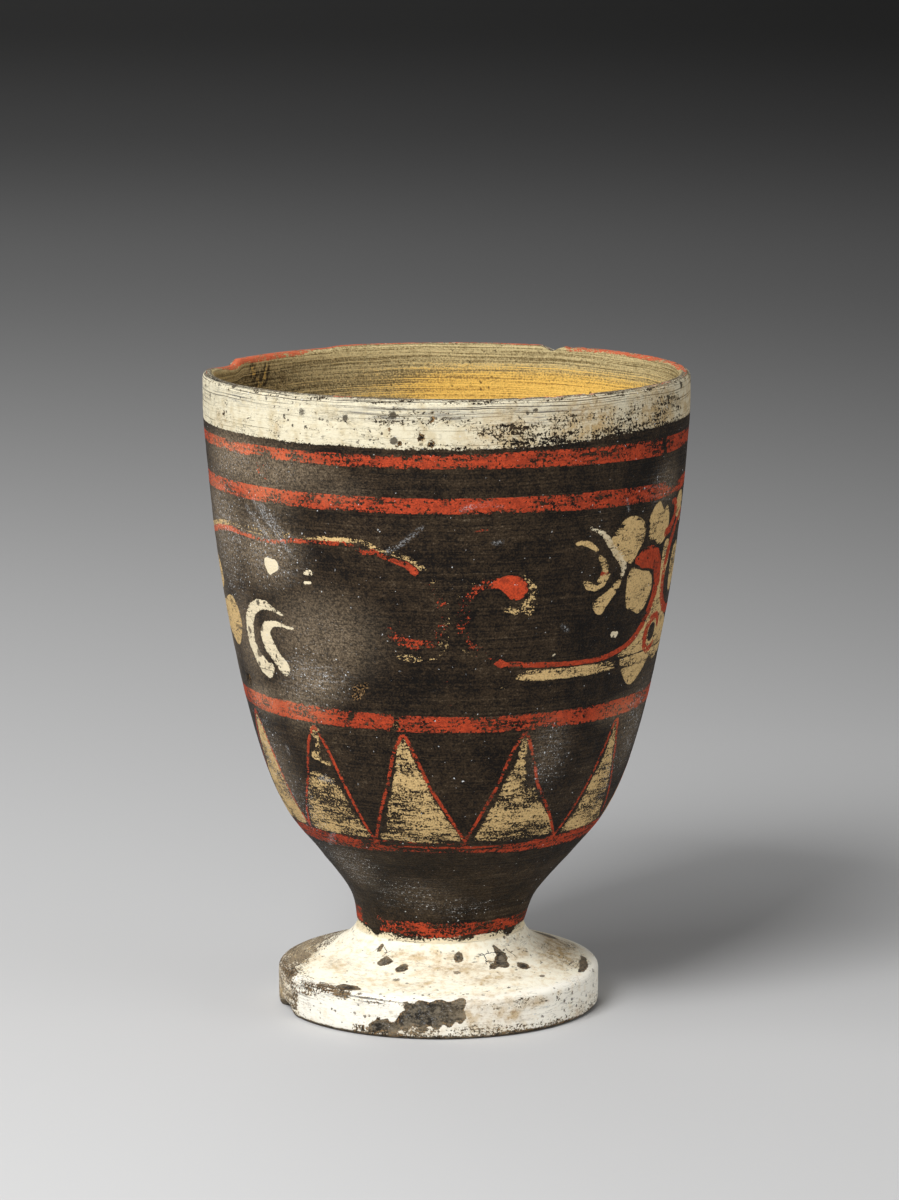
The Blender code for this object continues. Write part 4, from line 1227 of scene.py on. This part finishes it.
# Vermilion lines and bands
legs_depth = maths("SUBTRACT", LEG_HALF_WIDTH, maths("ABSOLUTE", attribute["triangles"]))
legs_looks = {"Ragged": 0.45, "Flecks_per_mm": 2.2, "Cracks": 0.3, "Seed": 52.0}
legs_out = effect("flaked coat", Depth=legs_depth, Wear=LEGS_WORN, **legs_looks)
red_out = coat_of("red", Ragged=0.55, Flecks_per_mm=1.9, Cracks=0.6, Seed=37.0)
red = tinted(RED_BRIGHT, RED_PAINT, attribute["worn"], 0.12, 0.30)
red = tinted(red, RED_DARK, grain, 0.42, 0.62, 0.0, 0.65)
red = tinted(red, RED_DARK, small_mottle, 0.44, 0.64, 0.0, 0.5)
peppered = effect("specks", Per_mm=1.4, Share=both(attribute["worn"], 0.8), Size=0.46)
red_kept = inverse(peppered["Specks"])
red_coat = both(either(red_out["Coat"], legs_out["Coat"]), red_kept)
# Dust and a painted sheen over the red, strongest on the left front
red = over(both(attribute["dusty"], eased(grain, 0.40, 0.60, 0.30, 0.85)), red, RED_DUST_AND_SHEEN)
colour = over(red_coat, colour, red)

# Dust, white specks and scuffs; the dust is thicker where the dust and painted sheen clouds lie
dust_noise = noise_at(place, 2.4, detail=5.0, roughness=0.74, stretch=(1.0, 1.0, 1.2), shift=13.0)
dust_limit = maths("MULTIPLY_ADD", attribute["dusty"], -0.14, 0.705)
dusting = eased(maths("SUBTRACT", dust_noise, dust_limit), 0.0, 0.06, 0.0, 0.55)
few_white = maths("MULTIPLY_ADD", attribute["specked"], 0.10, 0.003)
many_white = maths("MULTIPLY_ADD", attribute["specked"], 0.36, 0.010)
white_specks = either(
    effect("specks", Per_mm=1.1, Share=few_white, Size=0.26)["Specks"],
    effect("specks", Per_mm=2.6, Share=many_white, Size=0.36)["Specks"],
)
scuffed = both(eased(attribute["scuffed"], -0.5, 0.4), eased(dust_noise, 0.47, 0.62, 0.0, 0.62))
bloom_noise = weighed((streaks, 0.35), (dust_noise, 0.65))
bloomed = both(attribute["specked"], eased(bloom_noise, 0.535, 0.61, 0.0, 0.5))
dusted = both(either(either(dusting, white_specks), either(scuffed, bloomed)), is_outside)
colour = over(dusted, colour, DUST)

# The height of the coats, lines and pits, and how matt they are
painted = either(either(cream_coat, buff_coat), red_coat)
relief_height = weighed(
    (painted, 0.05),
    (both(fine_lines, is_outside), 0.10),
    (both(line_mix, is_inside), 0.36),
    (grit, 0.16),
    (grain, 0.08),
    (pitted, -0.14),
)
bump = add_node("ShaderNodeBump", {"Strength": 1.0, "Distance": MM, "Height": relief_height})

roughness = maths("MULTIPLY_ADD", painted, 0.14, eased(grit, 0.35, 0.65, 0.50, 0.70))
sockets = {"Base Color": colour, "Roughness": roughness, "Normal": bump.outputs[0]}
show_surface(sockets | {"Specular IOR Level": FAINT_SHEEN})
goblet.data.materials.clear()
goblet.data.materials.append(finish)
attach(goblet, "root")
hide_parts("goblet")


# The photographer's sweep of matt paper, a wide round sheet, so that it has no edge near the goblet in any
# view. Its colour carries painted light falloff: pale under the goblet, falling off to dark grey behind it
# and darker towards the right, away from the soft boxes on the left.
PAPER_RADIUS = 6.0
PAPER_NEAR = eye_colour(227, 227, 227)
PAPER_MIDDLE = eye_colour(158, 158, 158)
PAPER_FAR = eye_colour(101, 101, 100)
PAINTED_FALLOFF_BLACK = (0.0, 0.0, 0.0, 1.0)
PAINTED_LIGHT_CENTRE = (-0.25, -0.30, 0.0)
bpy.ops.mesh.primitive_circle_add(vertices=96, radius=PAPER_RADIUS, fill_type="NGON")
paper = bpy.context.object
paper.name = "paper_sweep"
bpy.ops.object.mode_set(mode="EDIT")
bpy.ops.mesh.select_all(action="SELECT")
bpy.ops.mesh.inset(thickness=PAPER_RADIUS / 3)
bpy.ops.object.mode_set(mode="OBJECT")
paper_finish, tree = new_finish("matt_paper")
where = add_node("ShaderNodeTexCoord").outputs["Object"]
# Painted light falloff: the paper is palest round a point in front on the left, under the soft boxes
from_painted_light_centre = vectors("SUBTRACT", where, PAINTED_LIGHT_CENTRE)
away = add_node("ShaderNodeVectorMath", {0: from_painted_light_centre}, operation="LENGTH").outputs["Value"]
paper_with_painted_falloff = tinted(PAPER_NEAR, PAPER_MIDDLE, away, 0.2, 1.9)
paper_with_painted_falloff = tinted(paper_with_painted_falloff, PAPER_FAR, away, 1.7, 4.8)
# Painted shade: the paper darkens towards the right, away from the lights, more so far from the goblet
painted_side_falloff = add_node("ShaderNodeSeparateXYZ", {0: where}).outputs["X"]
painted_side_falloff = both(painted_side_falloff, eased(away, 0.4, 0.9, 0.35, 1.0))
paper_with_painted_falloff = tinted(paper_with_painted_falloff, PAINTED_FALLOFF_BLACK, painted_side_falloff, -0.8, 0.8, 0.0, 0.6)
show_surface({"Base Color": paper_with_painted_falloff, "Roughness": 0.9, "Specular IOR Level": 0.1})
paper.data.materials.append(paper_finish)


# Plain studio light: a soft box high in front on the left, a weaker one beside it, broad weak ones on the
# right and behind, and grey light from all round.
SOFT_BOXES = (
    ("key_soft_box", (-0.485, -0.775, 0.92), (0.55, 0.48), 17.0),
    ("left_soft_box", (-0.66, -0.36, 1.09), (0.60, 0.60), 4.0),
    ("fill_soft_box", (1.45, -0.65, 0.42), (1.20, 0.70), 7.0),
    ("back_soft_box", (-0.40, 1.50, 1.30), (1.00, 0.80), 3.5),
)
AIM = Vector((0.0, 0.0, 0.07))
MIDDLE_GREY = (0.5, 0.5, 0.5, 1.0)
SURROUNDING_STRENGTH = 0.32
for name, place_at, (width, tall), watts in SOFT_BOXES:
    bpy.ops.object.light_add(type="AREA", location=place_at)
    lamp = bpy.context.object
    lamp.name = name
    lamp.data.shape = "RECTANGLE"
    lamp.data.size = width
    lamp.data.size_y = tall
    lamp.data.energy = watts
    lamp.rotation_euler = (AIM - Vector(place_at)).to_track_quat("-Z", "Y").to_euler()
surroundings = bpy.data.worlds.new("studio")
surroundings.use_nodes = True
background = surroundings.node_tree.nodes["Background"].inputs
background["Color"].default_value = MIDDLE_GREY
background["Strength"].default_value = SURROUNDING_STRENGTH
bpy.context.scene.world = surroundings
bpy.context.scene.view_settings.view_transform = "Standard"


# The camera stands where the photographer's stood, a little above the goblet and a metre away.
CAMERA_PLACE = Vector((0.0006, -0.9461, 0.2462))
CAMERA_DIP_DEGREES = 9.68
FOCAL_LENGTH = 139.35
SENSOR_SIDE = 36.0
NEAREST_SEEN = 0.01
FARTHEST_SEEN = 50.0
camera_turn = (math.radians(90.0 - CAMERA_DIP_DEGREES), 0.0, 0.0)
bpy.ops.object.camera_add(location=CAMERA_PLACE, rotation=camera_turn)
camera = bpy.context.object
camera.name = "camera"
camera.data.lens = FOCAL_LENGTH
camera.data.sensor_fit = "VERTICAL"
camera.data.sensor_height = SENSOR_SIDE
camera.data.clip_start = NEAREST_SEEN
camera.data.clip_end = FARTHEST_SEEN
bpy.context.scene.camera = camera
